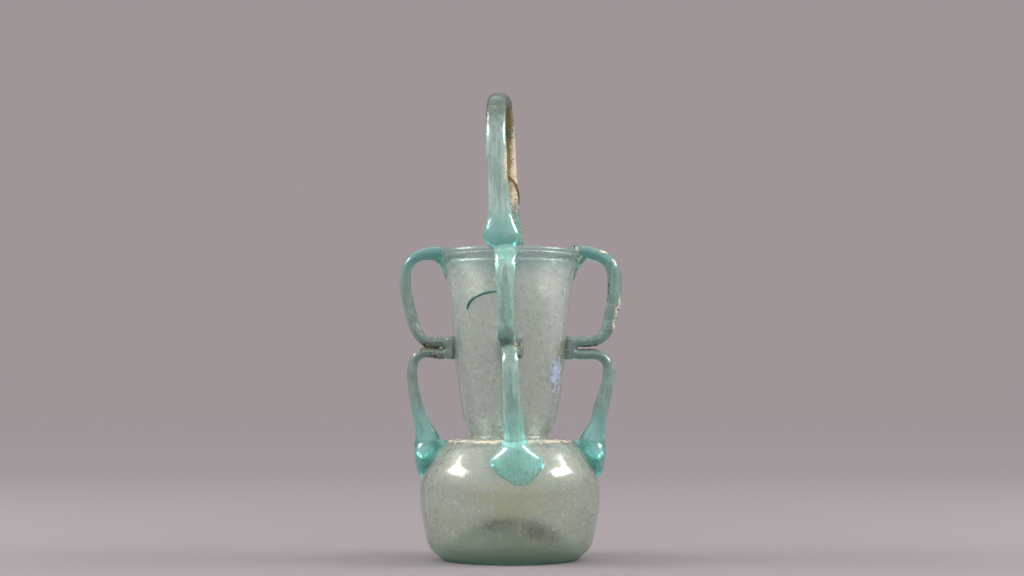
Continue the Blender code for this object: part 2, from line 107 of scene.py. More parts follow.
# Where a handle's root starts to be lower than in the tables, and the tip of its drop too, and by
# what step up from there that is complete
ROOT_START = 120.0
ROOT_SPAN = 18.0
TIP_START = 48.4
TIP_SPAN = -10.0
# The height whose lean the whole top of a drop takes
DROP_TOP_HEIGHT = 50.0
# How far a drop's outer face is drawn up to a ridge, and from what share of its greatest width
DROP_PEAK = 1.6
RIDGE_FROM = 0.45
# The swells in the surface of the blown wall and of the trails: how long they are, and how far
# the side handles and the basket handle stray
WALL_SWELL = 24.0
TRAIL_SWELL = 6.0
SIDE_STRAY = 0.55
BASKET_STRAY = 0.45

# Stations along the upper tier of each kind of side handle, from the lip to the neck: distance
# from the axis, height, half width and half thickness
ROUND_UPPER = (
    (29.2, 137.2, 5.9, 2.9),
    (32.0, 137.2, 5.8, 3.3),
    (35.5, 137.3, 5.6, 3.2),
    (39.0, 137.0, 5.4, 2.7),
    (42.4, 135.7, 5.1, 2.5),
    (45.2, 133.4, 4.7, 2.45),
    (46.9, 130.3, 4.25, 2.4),
    (47.5, 126.0, 3.85, 2.45),
    (47.3, 121.5, 3.6, 2.6),
    (46.3, 116.2, 3.5, 2.6),
    (45.0, 110.6, 3.5, 2.55),
    (43.6, 106.4, 3.45, 2.5),
    (42.1, 102.4, 3.4, 2.35),
    (40.2, 99.1, 3.4, 2.25),
    (37.4, 97.3, 3.3, 2.25),
    (33.8, 97.2, 3.4, 2.25),
    (31.2, 97.6, 3.5, 2.0),
    (28.6, 97.5, 3.7, 2.2),
)
ROUND_LOWER = (
    (28.6, 91.8, 3.6, 2.3),
    (31.2, 91.9, 3.5, 2.0),
    (33.8, 92.5, 3.4, 2.25),
    (37.2, 93.0, 3.3, 2.2),
    (40.6, 92.2, 3.3, 2.2),
    (43.0, 90.0, 3.35, 2.2),
    (44.0, 86.6, 3.4, 2.15),
    (44.1, 82.5, 3.4, 2.15),
    (43.8, 78.2, 3.4, 2.25),
    (43.1, 73.6, 3.5, 2.45),
    (42.1, 69.0, 3.7, 2.65),
    (40.9, 64.4, 3.9, 3.0),
    (39.6, 60.4, 4.2, 3.35),
)
SQUARE_UPPER = (
    (29.2, 137.8, 4.9, 2.8),
    (32.0, 138.2, 4.6, 2.9),
    (35.5, 137.8, 4.3, 2.95),
    (39.0, 136.7, 4.1, 2.85),
    (42.6, 135.0, 4.0, 2.8),
    (45.3, 132.8, 4.1, 3.0),
    (46.9, 129.4, 4.2, 3.15),
    (47.5, 125.2, 4.2, 3.2),
    (47.3, 120.6, 4.1, 3.2),
    (46.7, 115.6, 4.0, 3.2),
    (46.0, 111.4, 3.9, 3.1),
    (44.9, 107.0, 3.8, 3.0),
    (43.7, 103.0, 3.7, 2.8),
    (41.9, 99.6, 3.5, 2.55),
    (38.8, 97.9, 3.4, 2.3),
    (34.0, 97.6, 3.4, 2.25),
    (28.6, 97.6, 3.6, 2.2),
)
SQUARE_LOWER = (
    (28.6, 91.7, 3.6, 2.4),
    (34.0, 91.8, 3.4, 2.25),
    (38.2, 92.0, 3.3, 2.15),
    (41.8, 90.9, 3.3, 2.2),
    (44.2, 88.3, 3.4, 2.45),
    (44.9, 84.6, 3.4, 2.6),
    (44.4, 80.2, 3.4, 2.75),
    (43.3, 75.8, 3.5, 2.85),
    (42.1, 71.4, 3.6, 3.05),
    (41.0, 67.8, 3.8, 3.3),
    (40.2, 64.2, 3.9, 3.4),
    (39.7, 60.6, 4.2, 3.5),
)
# The turn of the trail from the upper tier to the lower one, pressed to the neck
FOLD = (
    (32.2, 97.55, 3.4, 2.05),
    (30.8, 97.6, 3.5, 2.05),
    (29.2, 97.25, 3.6, 2.15),
    (28.0, 96.2, 3.7, 2.25),
    (27.6, 94.65, 3.7, 2.3),
    (28.0, 93.1, 3.7, 2.25),
    (29.2, 92.05, 3.6, 2.15),
    (30.8, 91.7, 3.5, 2.05),
    (32.2, 91.8, 3.4, 2.05),
)
# The drop that every lower tier ends in, down to its tip
DROP = (
    (38.3, 57.2, 4.3, 4.4),
    (37.2, 54.0, 4.8, 5.5),
    (36.9, 51.2, 6.0, 6.2),
    (37.3, 48.4, 8.9, 6.0),
    (37.8, 46.4, 11.4, 5.5),
    (38.3, 44.9, 12.0, 4.9),
    (38.8, 43.0, 10.4, 4.1),
    (39.1, 40.6, 7.6, 3.0),
    (39.3, 38.4, 4.6, 1.9),
    (39.4, 36.7, 1.8, 0.8),
)
# The top of the drop, which runs in level over the shoulder to its crest
DROP_TOP = (
    (27.6, 52.9, 1.8, 0.5),
    (29.6, 51.9, 2.8, 1.7),
    (32.4, 50.9, 3.7, 2.8),
    (35.6, 50.6, 4.6, 3.6),
    (38.6, 50.4, 5.0, 3.4),
)
# The tail of glass that runs down the neck under the lip
LIP_TAIL = (
    (32.4, 136.6, 5.0, 3.2),
    (31.3, 134.6, 4.9, 2.4),
    (30.3, 132.7, 4.6, 1.6),
    (29.4, 130.6, 4.0, 1.1),
    (28.6, 128.0, 3.0, 0.9),
    (28.0, 125.0, 1.6, 0.6),
)
# Stations along the basket handle, from the front lip over the mouth to the back lip, the front
# ones at negative distances
BASKET = (
    (-30.5, 137.4, 2.8, 2.8),
    (-30.5, 138.6, 5.8, 3.8),
    (-30.5, 140.4, 7.6, 4.4),
    (-30.5, 142.6, 8.3, 4.6),
    (-30.4, 145.2, 7.5, 4.4),
    (-30.2, 148.6, 6.2, 3.8),
    (-30.0, 152.4, 5.1, 3.2),
    (-29.8, 157.0, 4.5, 2.8),
    (-29.5, 163.0, 4.25, 2.7),
    (-29.5, 171.0, 4.25, 2.7),
    (-29.5, 179.0, 4.3, 2.7),
    (-28.6, 187.0, 4.3, 2.7),
    (-24.8, 195.6, 4.3, 2.7),
    (-18.4, 202.4, 4.4, 2.7),
    (-9.6, 206.4, 4.6, 2.75),
    (0.0, 207.3, 4.7, 2.8),
    (9.6, 206.4, 4.6, 2.75),
    (18.4, 202.4, 4.4, 2.7),
    (24.8, 195.6, 4.3, 2.7),
    (28.6, 187.0, 4.3, 2.7),
    (29.5, 179.0, 4.3, 2.7),
    (29.5, 171.0, 4.3, 2.7),
    (29.5, 163.0, 4.3, 2.7),
    (29.8, 157.0, 4.4, 2.8),
    (30.0, 152.4, 4.7, 3.2),
    (30.2, 148.6, 5.2, 3.8),
    (30.4, 145.2, 5.7, 4.3),
    (30.5, 142.6, 5.8, 4.5),
    (30.5, 140.4, 5.3, 4.3),
    (30.5, 138.6, 4.0, 3.6),
    (30.5, 137.4, 2.4, 2.6),
)
# The basket handle's turn round the jar's axis, how far it stands to the side at the lip, how much
# further at its crown, and its height over the lip
BASKET_TURN = math.radians(-4.4)
BASKET_SHIFT = 1.1
BASKET_LEAN = 3.4
BASKET_RISE = 71.4
LIP_TOP = 138.7

# The thread on the neck: where it starts and how far it runs round the neck in degrees, its top,
# its fall and its radius
NECK_THREAD_START = -100
NECK_THREAD_RUN = 34
NECK_THREAD_TOP = 118.8
NECK_THREAD_FALL = 8.0
NECK_THREAD_RADIUS = 0.62
# The thread on the basket handle: how far its top is under the crown, its fall and its radius, the
# leg that it winds round as its distance from the axis, half depth and half width, and how far
# round it goes
HANDLE_THREAD_DROP = 33.5
HANDLE_THREAD_FALL = 14.0
HANDLE_THREAD_RADIUS = 0.42
HANDLE_THREAD_LEG = (29.5, 3.3, 4.95)
HANDLE_THREAD_TURN = math.radians(100)
THREAD_STEPS = 32

# Each side handle: azimuth, step and drift of its lower tier in degrees, its kind, how much lower
# than in the tables its root and the tip of its drop are, and how far its fold root is turned
SIDE_HANDLES = {
    "side_handle_left": (180.0, -1.0, -4.0, "round", 0.0, 0.0, -0.5),
    "side_handle_right": (0.0, 1.0, 4.0, "square", 0.0, 0.0, 0.5),
    "side_handle_front": (-92.6, 2.6, 6.5, "round", 1.5, 2.4, 6.0),
    "side_handle_back": (95.6, -1.5, -2.0, "round", 2.8, 1.4, -0.7),
}

# The pressed block in a fold: how far its middle is outside the neck, its size, how much narrower
# and lower its outer face is, and how rounded it is
FOLD_ROOT_OUT = 1.3
FOLD_ROOT_SIZE = (4.8, 9.6, 10.9)
FOLD_ROOT_TAPER = (1, 0.78, 0.93)
FOLD_ROOT_ROUNDING = 1.5

# Knobs of glass left on a handle's root: the shape of each, and then place and radius
KNOB_SHAPE = (1.3, 1.2, 0.9)
KNOBS = {
    "side_handle_right": (((29.6, -0.6, 139.6), 1.9), ((34.4, 0.4, 139.7), 1.7)),
    "side_handle_left": (((30.4, 0.0, 138.2), 2.0),),
}

# Grooves drawn into a trail's outer face: angle from the middle of that face and half width in
# degrees, and depth as a share of the setting
GROOVES = ((-52.0, 9.0, 0.6), (-22.0, 11.0, 1.0), (24.0, 10.0, 0.9), (58.0, 9.0, 0.5))

# How ragged patches of crust are at their edges, in coarse and in fine bits: bits for a
# millimetre, and how far they stray
COARSE_EDGE = (0.45, 0.35)
FINE_EDGE = (1.5, 0.8)
# Patches of crust and one painted highlight: material, centre, reach in millimetres, and how much
# of the reach is covered
CRUSTS = {
    "vessel": (
        ("film", (20.8, -12.8, 82.2), (4.6, 5.0, 7.4), 0.72),
        ("film", (20.2, -13.6, 76.0), (2.2, 3.0, 3.0), 0.5),
        ("grime", (-5.0, -11.5, 16.2), (11.0, 6.0, 2.6), 0.80),
        ("grime", (17.0, -11.5, 12.6), (8.5, 7.0, 3.6), 1.30),
        ("crust", (-1.0, -12.0, 15.0), (6.0, 6.0, 2.6), 0.12),
        ("crust", (16.5, -11.0, 12.0), (8.5, 7.0, 3.6), 0.16),
        # A painted highlight: a pale line along the crest of the shoulder, where the crest catches
        # the light, drawn with the chalky crust
        ("crust", (0.0, -6.0, 53.1), (80.0, 80.0, 0.9), 0.45),
    ),
    "side_handle_left": (
        ("soil", (-36.0, 0.0, 95.2), (9.5, 7.0, 4.6), 0.42),
        ("soil", (-34.0, 0.0, 94.7), (5.0, 7.0, 1.2), 0.80),
        ("soil", (-33.0, 0.0, 91.0), (7.0, 7.0, 3.6), 0.32),
        ("soil", (-43.4, 0.0, 108.0), (2.6, 5.0, 7.0), 0.22),
        ("soil", (-44.2, 0.0, 81.0), (2.0, 3.0, 5.0), 0.40),
        ("soil", (-32.4, 0.0, 136.0), (0.9, 6.0, 3.0), 0.55),
        ("soil", (-25.3, 0.0, 94.6), (0.55, 6.5, 6.6), 0.85),
    ),
    "side_handle_right": (
        ("crust", (29.6, -4.6, 138.4), (1.8, 3.0, 2.4), 0.60),
        ("crust", (30.6, -4.0, 133.6), (2.6, 4.0, 5.0), 0.20),
        ("crust", (41.6, -1.6, 138.0), (4.6, 4.0, 1.2), 0.60),
        ("crust", (47.0, -1.0, 133.4), (1.4, 4.0, 3.0), 0.40),
        ("crust", (49.2, -2.0, 115.0), (1.0, 3.0, 5.0), 0.50),
        ("crust", (47.4, -2.4, 110.6), (1.3, 3.0, 5.0), 0.60),
        ("crust", (46.6, -2.4, 104.6), (1.2, 3.0, 4.0), 0.50),
        ("soil", (45.6, -2.6, 112.0), (2.4, 3.0, 9.0), 0.24),
        ("soil", (44.6, -3.0, 103.6), (2.0, 3.0, 3.0), 0.40),
        ("soil", (36.0, 0.0, 94.9), (8.0, 7.0, 1.6), 0.70),
        ("soil", (44.6, 0.0, 120.0), (1.4, 5.0, 12.0), 0.34),
        ("soil", (25.3, 0.0, 94.6), (0.55, 6.5, 6.6), 0.85),
    ),
    "side_handle_front": (
        ("crust", (3.6, -31.0, 95.5), (3.2, 4.0, 3.0), 0.62),
        ("soil", (0.0, -25.3, 94.6), (6.5, 0.55, 6.6), 0.85),
    ),
    "side_handle_back": (
        ("soil", (0.0, 25.3, 94.6), (6.5, 0.55, 6.6), 0.85),
    ),
    "basket_handle": (
        ("crust", (1.5, 26.6, 183.5), (5.5, 2.4, 17.5), 1.25),
        ("crust", (3.4, 21.0, 196.0), (3.2, 8.0, 9.0), 0.85),
        ("crust", (-1.9, -30.0, 174.0), (1.1, 3.4, 8.0), 0.75),
        ("crust", (2.0, 30.0, 146.0), (6.0, 5.0, 9.0), 0.50),
        ("stain", (-1.6, 26.0, 184.0), (1.9, 3.2, 17.0), 1.20),
        ("stain", (-1.5, 15.0, 200.5), (4.0, 13.0, 6.0), 0.90),
        ("stain", (2.5, 26.6, 180.0), (3.0, 2.4, 20.0), 0.10),
    ),
}

# Stains in the blown glass: grain, centre and reach in millimetres, and colour
STAINS = (
    ("pits", (19.0, -14.0, 110.0), (11.0, 9.0, 34.0), "ffffff"),
    ("pits", (22.5, -11.0, 92.0), (3.0, 4.0, 8.0), "dfe0b8"),
    ("mottle", (2.0, -40.0, 27.0), (22.0, 14.0, 17.0), "e6e9d2"),
)

# Parts of the trailed glass that look different: axis, where each one starts and where it is all
# there in millimetres, how much of it there is then, and how it rises
TRAIL_RAMPS = {
    "drops": ("Z", 76, 58, 1.0, "SMOOTHSTEP"),
    "crown": ("Z", 176, 204, 1.0, "SMOOTHSTEP"),
    "right": ("X", 15, 30, 0.25, "LINEAR"),
    "front": ("Y", -20, -30, 0.5, "LINEAR"),
    "dull front": ("Y", -22, -30, 1.0, "LINEAR"),
}
# Level bands of it: middle height, and how far from that each one ends and is all there
TRAIL_BANDS = {
    "feet": (142.0, 20.0, 4.0),
    "dull feet": (142.0, 14.0, 5.0),
    "folds": (PINCH_HEIGHT, 9.0, 5.0),
}
# Worn parts of it, the crown also darkened with painted shade, as it faces the light from above:
# how much of each one's colour shows, and that colour
WORN_AND_SHADED = {
    "crown": (0.95, "1a4030"),
    "folds": (0.5, "7f9a90"),
    "dull feet": (0.7, "86bfb4"),
}

# The soft lights, one on each side: place of the right one, its width and height, and the point
# that both are aimed at, in metres
LIGHT_PLACE = (0.86, -0.05, 0.71)
LIGHT_SIZE = (0.58, 0.28)
LIGHT_AIM = (0, 0, 0.09)
# The place of the camera in metres and its tilt from straight down, and the floor's radius
CAMERA_PLACE = (0.0009, -0.9, 0.0714)
CAMERA_TILT = math.radians(93.2)
FLOOR_RADIUS = 6.0


def srgb(code):
    """An sRGB hex colour as linear red, green and blue."""
    parts = [int(code[k : k + 2], 16) / 255 for k in (0, 2, 4)]
    return tuple(c / 12.92 if c <= 0.04045 else ((c + 0.055) / 1.055) ** 2.4 for c in parts)


def share_of(value, start, span):
    """How far a value has come from the start of a span to its end, from 0 to 1."""
    return min(1.0, max(0.0, (value - start) / span))


def per_mm(size):
    """The scale of a texture whose features are this many millimetres across."""
    return 1.0 / (size * MM)


def shade_property(name, description, code):
    """A setting that holds a colour, which starts as the sRGB hex colour."""
    return FloatVectorProperty(
        name=name, description=description, subtype="COLOR", default=srgb(code), min=0, max=1,
    )


class JarShapeSettings(PropertyGroup):
    """How finely and how evenly the glass is drawn."""

    sides: IntProperty(
        name="Sides", description="Steps round the vessel", default=160, min=48, max=256,
    )
    outline_step: FloatProperty(
        name="Outline step", description="Longest step along the vessel's outline",
        default=1.1 * MM, unit="LENGTH",
    )
    unevenness: FloatProperty(
        name="Unevenness", description="How far the blown wall strays from a true round",
        default=0.30 * MM, unit="LENGTH",
    )
    melt: FloatProperty(
        name="Melt size", description="Size of the cells that melt a handle into one piece",
        default=0.32 * MM, unit="LENGTH",
    )
    groove: FloatProperty(
        name="Groove depth", description="Depth of a groove, as a share of the trail's depth",
        default=0.20, subtype="FACTOR", min=0.0, max=0.4,
    )
    seam: FloatProperty(
        name="Seam", description="Gap between two gathers of glass", default=0.04 * MM,
        unit="LENGTH",
    )


class JarColourSettings(PropertyGroup):
    """Colours of the glass and of what lies on it."""

    pale: shade_property("Pale glass", "The blown glass of the neck", "f3f8f6")
    olive: shade_property("Olive film", "The yellowish film on the body", "eef1dd")
    pale_depth: shade_property(
        "Pale depth", "What the blown glass lets through in depth", "a0edda",
    )
    teal: shade_property("Trailed glass", "The blue-green glass of the thick drops", "c6f4ec")
    thin_teal: shade_property(
        "Thin trail", "The same glass in the thin, weathered rods", "d0dacf",
    )
    teal_depth: shade_property(
        "Trailed depth", "What the trailed glass lets through in depth", "27e8e5",
    )
    thread: shade_property("Dark thread", "The thread on the neck", "4a9087")
    stain: shade_property("Stained thread", "The thread on the basket handle", "b8894a")
    crust: shade_property("Chalky crust", "Pale weathering crust", "d6cab0")
    soil: shade_property("Soil", "Brown soil left in creases", "665c40")


class JarStageSettings(PropertyGroup):
    """The floor, the lights and the camera."""

    floor: shade_property("Floor", "Colour of the floor near the jar", "747072")
    far_floor: FloatProperty(
        name="Far floor", description="How much paler the floor is far away, where less light"
        " falls on it", default=1.30, min=0.0,
    )
    backdrop: shade_property(
        "Backdrop", "The light from round the horizon, which is the backdrop", "a09698",
    )
    sky: FloatProperty(
        name="Sky", description="Strength of the light from above", default=1.9, min=0.0,
    )
    soft_light: FloatProperty(
        name="Soft light", description="Power of each soft light", default=10.5, unit="POWER",
    )
    lens: FloatProperty(
        name="Lens", description="Focal length in millimetres", default=70.3125, min=10.0,
    )


def start_clean():
    """Leaves edit mode and selects nothing."""
    if bpy.context.object and bpy.context.object.mode != "OBJECT":
        bpy.ops.object.mode_set(mode="OBJECT")
    bpy.ops.object.select_all(action="DESELECT")


def pick(keep):
    """Selects the vertices of the open mesh that the test keeps, and no others."""
    mesh = bmesh.from_edit_mesh(bpy.context.object.data)
    for vertex in mesh.verts:
        vertex.select = keep(vertex)
    mesh.select_flush_mode()


def start_editing():
    """Opens the active piece for editing, with all of it selected."""
    bpy.ops.object.mode_set(mode="EDIT")
    bpy.ops.mesh.select_all(action="SELECT")


def end_editing(near=0.0):
    """Merges points that lie this near each other, turns all faces outwards and ends editing."""
    bpy.ops.mesh.select_all(action="SELECT")
    if near:
        bpy.ops.mesh.remove_doubles(threshold=near)
    bpy.ops.mesh.normals_make_consistent(inside=False)
    bpy.ops.object.mode_set(mode="OBJECT")


def only(item):
    """Makes the object the only one that is selected, and the active one."""
    start_clean()
    item.select_set(True)
    bpy.context.view_layer.objects.active = item
    return item


def apply_all(item):
    """Applies the object's modifiers in order."""
    only(item)
    for modifier in list(item.modifiers):
        bpy.ops.object.modifier_apply(modifier=modifier.name)


def turned_by(vector, angle):
    """The plane vector turned to the left by the angle."""
    return Matrix.Rotation(angle, 2) @ vector


def turn_at(before, corner, after):
    """How far a path turns at a corner, left positive."""
    arriving, leaving = corner - before, after - corner
    return math.atan2(arriving.cross(leaving), arriving.dot(leaving))


def shifted_corners(corners, end, distance_of):
    """The corners, each moved to the left of the path by its own distance."""
    points = [Vector(corner[:2]) for corner in corners] + [end]
    moved = [(points[0] + Vector((0, distance_of(corners[0]))), 0.0)]
    for before, corner, point, after in zip(points, corners[1:], points[1:], points[2:]):
        turn = turn_at(before, point, after)
        distance = distance_of(corner)
        left = turned_by((point - before).normalized(), (math.pi + turn) / 2)
        radius = corner[2] - math.copysign(distance, turn * distance)
        moved.append((point + left * distance / math.cos(turn / 2), max(radius, 0.3)))
    return moved + [(end, 0.0)]


def rounded_path(corners, step):
    """Points along a path with rounded corners, no further apart than the step."""
    points = [corners[0][0]]
    for (before, _), (point, radius), (after, _) in zip(corners, corners[1:], corners[2:]):
        turn = turn_at(before, point, after)
        arriving = (point - before).normalized()
        room = 0.49 * min((point - before).length, (after - point).length)
        reach = min(radius * math.tan(abs(turn) / 2), room)
        first = point - arriving * reach
        side = turned_by(arriving, math.copysign(math.pi / 2, turn))
        centre = first + side * reach / max(math.tan(abs(turn) / 2), 1e-6)
        add_run(points, first, step)
        length = abs(turn) * (first - centre).length
        count = max(math.ceil(abs(turn) / OUTLINE_TURN), math.ceil(length / step))
        points += [
            centre + turned_by(first - centre, turn * k / count) for k in range(1, count + 1)
        ]
    add_run(points, corners[-1][0], step)
    return points


def add_run(points, end, step):
    """Adds a straight run from the last point to the end."""
    start = points[-1].copy()
    count = max(1, math.ceil((end - start).length / step))
    points += [start.lerp(end, k / count) for k in range(1, count + 1)]


def vessel_outline(step, filled=False):
    """The outline of the glass, both its ends on the axis. A filled one has no hollow."""
    sweep = math.pi / 2 + LIP_OPENING if filled else math.pi + 2 * LIP_OPENING
    count = LIP_STEPS * 2 // 5 if filled else LIP_STEPS
    first = turned_by(Vector((LIP_RADIUS, 0)), -LIP_OPENING)
    lip = [LIP_CENTRE + turned_by(first, sweep * k / count) for k in range(count + 1)]
    outside = rounded_path(shifted_corners(VESSEL_CORNERS, lip[0], lambda corner: 0.0), step)
    if filled:
        return outside + lip[1:] + [Vector((0, lip[-1].y))]
    inside = rounded_path(shifted_corners(VESSEL_CORNERS, lip[-1], lambda corner: corner[3]), step)
    return outside + lip[1:-1] + inside[::-1]


def neck_radius(height):
    """The outer radius of the neck at a height, in millimetres."""
    corners = [corner[:2] for corner in VESSEL_CORNERS[NECK_START:]]
    for (low_radius, low), (high_radius, high) in zip(corners, corners[1:]):
        if height <= high:
            return low_radius + (high_radius - low_radius) * (height - low) / (high - low)
    return LIP_CENTRE.x


def spun_vessel(name, outline, sides):
    """Extrudes the outline point by point and spins it round the axis."""
    start_clean()
    bpy.ops.mesh.primitive_plane_add(size=MM, location=(0, 0, 0))
    item = bpy.context.object
    item.name = name
    start_editing()
    bpy.ops.mesh.merge(type="CENTER")
    bpy.ops.transform.translate(value=(outline[0].x * MM, 0, outline[0].y * MM))
    for one, other in zip(outline, outline[1:]):
        step = ((other.x - one.x) * MM, 0, (other.y - one.y) * MM)
        bpy.ops.mesh.extrude_vertices_move(TRANSFORM_OT_translate={"value": step})
    bpy.ops.mesh.select_all(action="SELECT")
    bpy.ops.mesh.spin(steps=sides, angle=math.tau, center=(0, 0, 0), axis=(0, 0, 1))
    end_editing(0.01 * MM)
    return item


def vessel_space():
    """The vessel without its hollow, for the handles to rest against."""
    return spun_vessel("vessel space", vessel_outline(SPACE_STEP, filled=True), SPACE_SIDES)


def strayed(item, distance, size, weight_of):
    """Lets the surface stray by up to the distance, in swells of that size in millimetres, where
    the weight of a point allows it."""
    group = item.vertex_groups.new(name="free")
    for vertex in item.data.vertices:
        group.add([vertex.index], weight_of(vertex.co), "REPLACE")
    swell = bpy.data.textures.new(f"{item.name} swell", "CLOUDS")
    swell.noise_scale = size * MM
    swell.noise_depth = 1
    displace = item.modifiers.new("stray", "DISPLACE")
    displace.texture = swell
    displace.texture_coords = "LOCAL"
    displace.strength = distance
    displace.mid_level = 0.5
    displace.vertex_group = "free"
    apply_all(item)
    item.vertex_groups.clear()


def trail(name, stations, groove=0.0, peak=1.0, lean_of=None, shift_of=None, sides=32):
    """Draws a trail of glass: a ring is extruded from station to station, given its width and
    depth there, and then bent into the path. Its outer face has grooves, and a peak draws that
    face up to a ridge where the trail is widest."""
    start_clean()
    bpy.ops.mesh.primitive_circle_add(vertices=sides, radius=MM, fill_type="NGON")
    item = bpy.context.object
    item.name = name
    bpy.ops.object.mode_set(mode="EDIT")
    for angle, width, depth in GROOVES:
        pick(lambda vertex: abs(face_angle(vertex.co) - angle) < width)
        bpy.ops.transform.resize(value=(1 - groove * depth, 1, 1))
    stations = [(r, z, width + MELT_LOSS, depth + MELT_LOSS) for r, z, width, depth in stations]
    places = [Vector((r, 0, z)) * MM for r, z, _, _ in stations]
    widest = max(width for _, _, width, _ in stations)
    heights = [0.0]
    for one, other in zip(places, places[1:]):
        heights.append(heights[-1] + (other - one).length)
    bpy.ops.mesh.select_all(action="SELECT")
    width_before, depth_before = 1.0, 1.0
    for index, (_, _, width, depth) in enumerate(stations):
        height = heights[index]
        if index:
            rise = {"value": (0, 0, height - heights[index - 1])}
            bpy.ops.mesh.extrude_region_move(TRANSFORM_OT_translate=rise)
        share = (depth / depth_before, width / width_before, 1)
        bpy.ops.transform.resize(value=share, center_override=(0, 0, height))
        width_before, depth_before = width, depth
    for index, (_, _, width, _) in enumerate(stations):
        if peak > 1.0 and width > RIDGE_FROM * widest:
            raise_ridge(index, sides, heights[index], (peak - 1) * width / widest)
    for index, place in enumerate(places):
        bend_ring(index, sides, places, heights[index])
        if lean_of:
            lean = math.radians(lean_of(place.z / MM))
            bpy.ops.transform.rotate(value=-lean, orient_axis="Z", center_override=(0, 0, 0))
        if shift_of:
            bpy.ops.transform.translate(value=(0, shift_of(place.z / MM) * MM, 0))
    end_editing()
    smooth = item.modifiers.new("smooth", "SUBSURF")
    smooth.levels = smooth.render_levels = 2
    apply_all(item)
    return item


def face_angle(point):
    """The angle of a point of the first ring from the middle of its outer face, in degrees."""
    return math.degrees(math.atan2(point.y, -point.x))


def raise_ridge(index, sides, height, sharpness):
    """Lowers the flanks of a ring's outer face, so that its middle stands up as a ridge."""
    for step in range(1, sides // 4):
        slope = math.cos(math.tau * step / sides)
        pair = {index * sides + (sides // 4 + step) % sides, index * sides + (sides // 4 - step)}
        pick(lambda vertex: vertex.index in pair)
        bpy.ops.transform.resize(value=(slope**sharpness, 1, 1), center_override=(0, 0, height))


def bend_ring(index, sides, places, height):
    """Turns a ring square to the path and moves it there."""
    before, after = places[max(index - 1, 0)], places[min(index + 1, len(places) - 1)]
    along = (after - before).normalized()
    tilt = math.atan2(along.x, along.z)
    first = index * sides
    pick(lambda vertex: first <= vertex.index < first + sides)
    bpy.ops.transform.rotate(value=-tilt, orient_axis="Y", center_override=(0, 0, height))
    place = places[index]
    bpy.ops.transform.translate(value=(place.x, 0, place.z - height))


def melted(pieces, name, cell):
    """Joins the pieces and melts them into one skin."""
    only(pieces[0])
    for piece in pieces[1:]:
        piece.select_set(True)
    if len(pieces) > 1:
        bpy.ops.object.join()
    item = bpy.context.object
    item.name = name
    remesh = item.modifiers.new("melt", "REMESH")
    remesh.mode = "VOXEL"
    remesh.voxel_size = cell
    smooth = item.modifiers.new("soften", "SMOOTH")
    smooth.factor = 0.5
    smooth.iterations = 12
    apply_all(item)
    return item


def seated(item, rests_on, seam, below=math.inf):
    """Moves what would lie inside the things that the piece rests on out to their surfaces. Only
    the part of the piece below the height is looked at, and of that what is in a thing's box."""
    for target in rests_on:
        low, high = target.bound_box[0], target.bound_box[6]
        group = item.vertex_groups.new(name=f"seat on {target.name}")
        group.add([
            vertex.index for vertex in item.data.vertices
            if vertex.co.z < below * MM
            and all(low[k] <= vertex.co[k] <= high[k] for k in range(3))
        ], 1.0, "REPLACE")
        seat = item.modifiers.new("seat", "SHRINKWRAP")
        seat.target = target
        seat.wrap_mode = "OUTSIDE"
        seat.offset = seam
        seat.vertex_group = group.name
    apply_all(item)
    item.vertex_groups.clear()
    return item


def turned_round(item, azimuth):
    """Turns the piece round the jar's axis."""
    only(item)
    item.rotation_euler.z = azimuth
    bpy.ops.object.transform_apply(location=False, rotation=True, scale=False)
    return item


def fold_root(turn):
    """The pressed block that holds a pinched trail to the neck."""
    neck = neck_radius(PINCH_HEIGHT)
    start_clean()
    place = ((neck + FOLD_ROOT_OUT) * MM, 0, PINCH_HEIGHT * MM)
    bpy.ops.mesh.primitive_cube_add(size=MM, location=place)
    item = bpy.context.object
    item.name = "fold root"
    start_editing()
    bpy.ops.transform.resize(value=FOLD_ROOT_SIZE)
    pick(lambda vertex: vertex.co.x > 0)
    bpy.ops.transform.resize(value=FOLD_ROOT_TAPER)
    bpy.ops.mesh.select_all(action="SELECT")
    bpy.ops.mesh.bevel(
        offset=FOLD_ROOT_ROUNDING * MM, offset_type="OFFSET", segments=4, affect="EDGES",
    )
    bpy.ops.object.mode_set(mode="OBJECT")
    bpy.ops.object.transform_apply(location=True, rotation=True, scale=True)
    return turned_round(item, math.radians(turn))


def lean_of_lower_tier(step, drift):
    """The lean of a lower tier in degrees at a height, growing down to the tip of its drop."""
    def lean(height):
        fall = (PINCH_HEIGHT - height) / (PINCH_HEIGHT - DRIFT_END)
        return step + drift * max(0.0, fall) ** 2
    return lean


def lean_of_fold(step):
    """The lean of a fold in degrees at a height, from none at its top to the lower tier's."""
    return lambda height: step * share_of(height, FOLD_TOP, FOLD_SPAN)


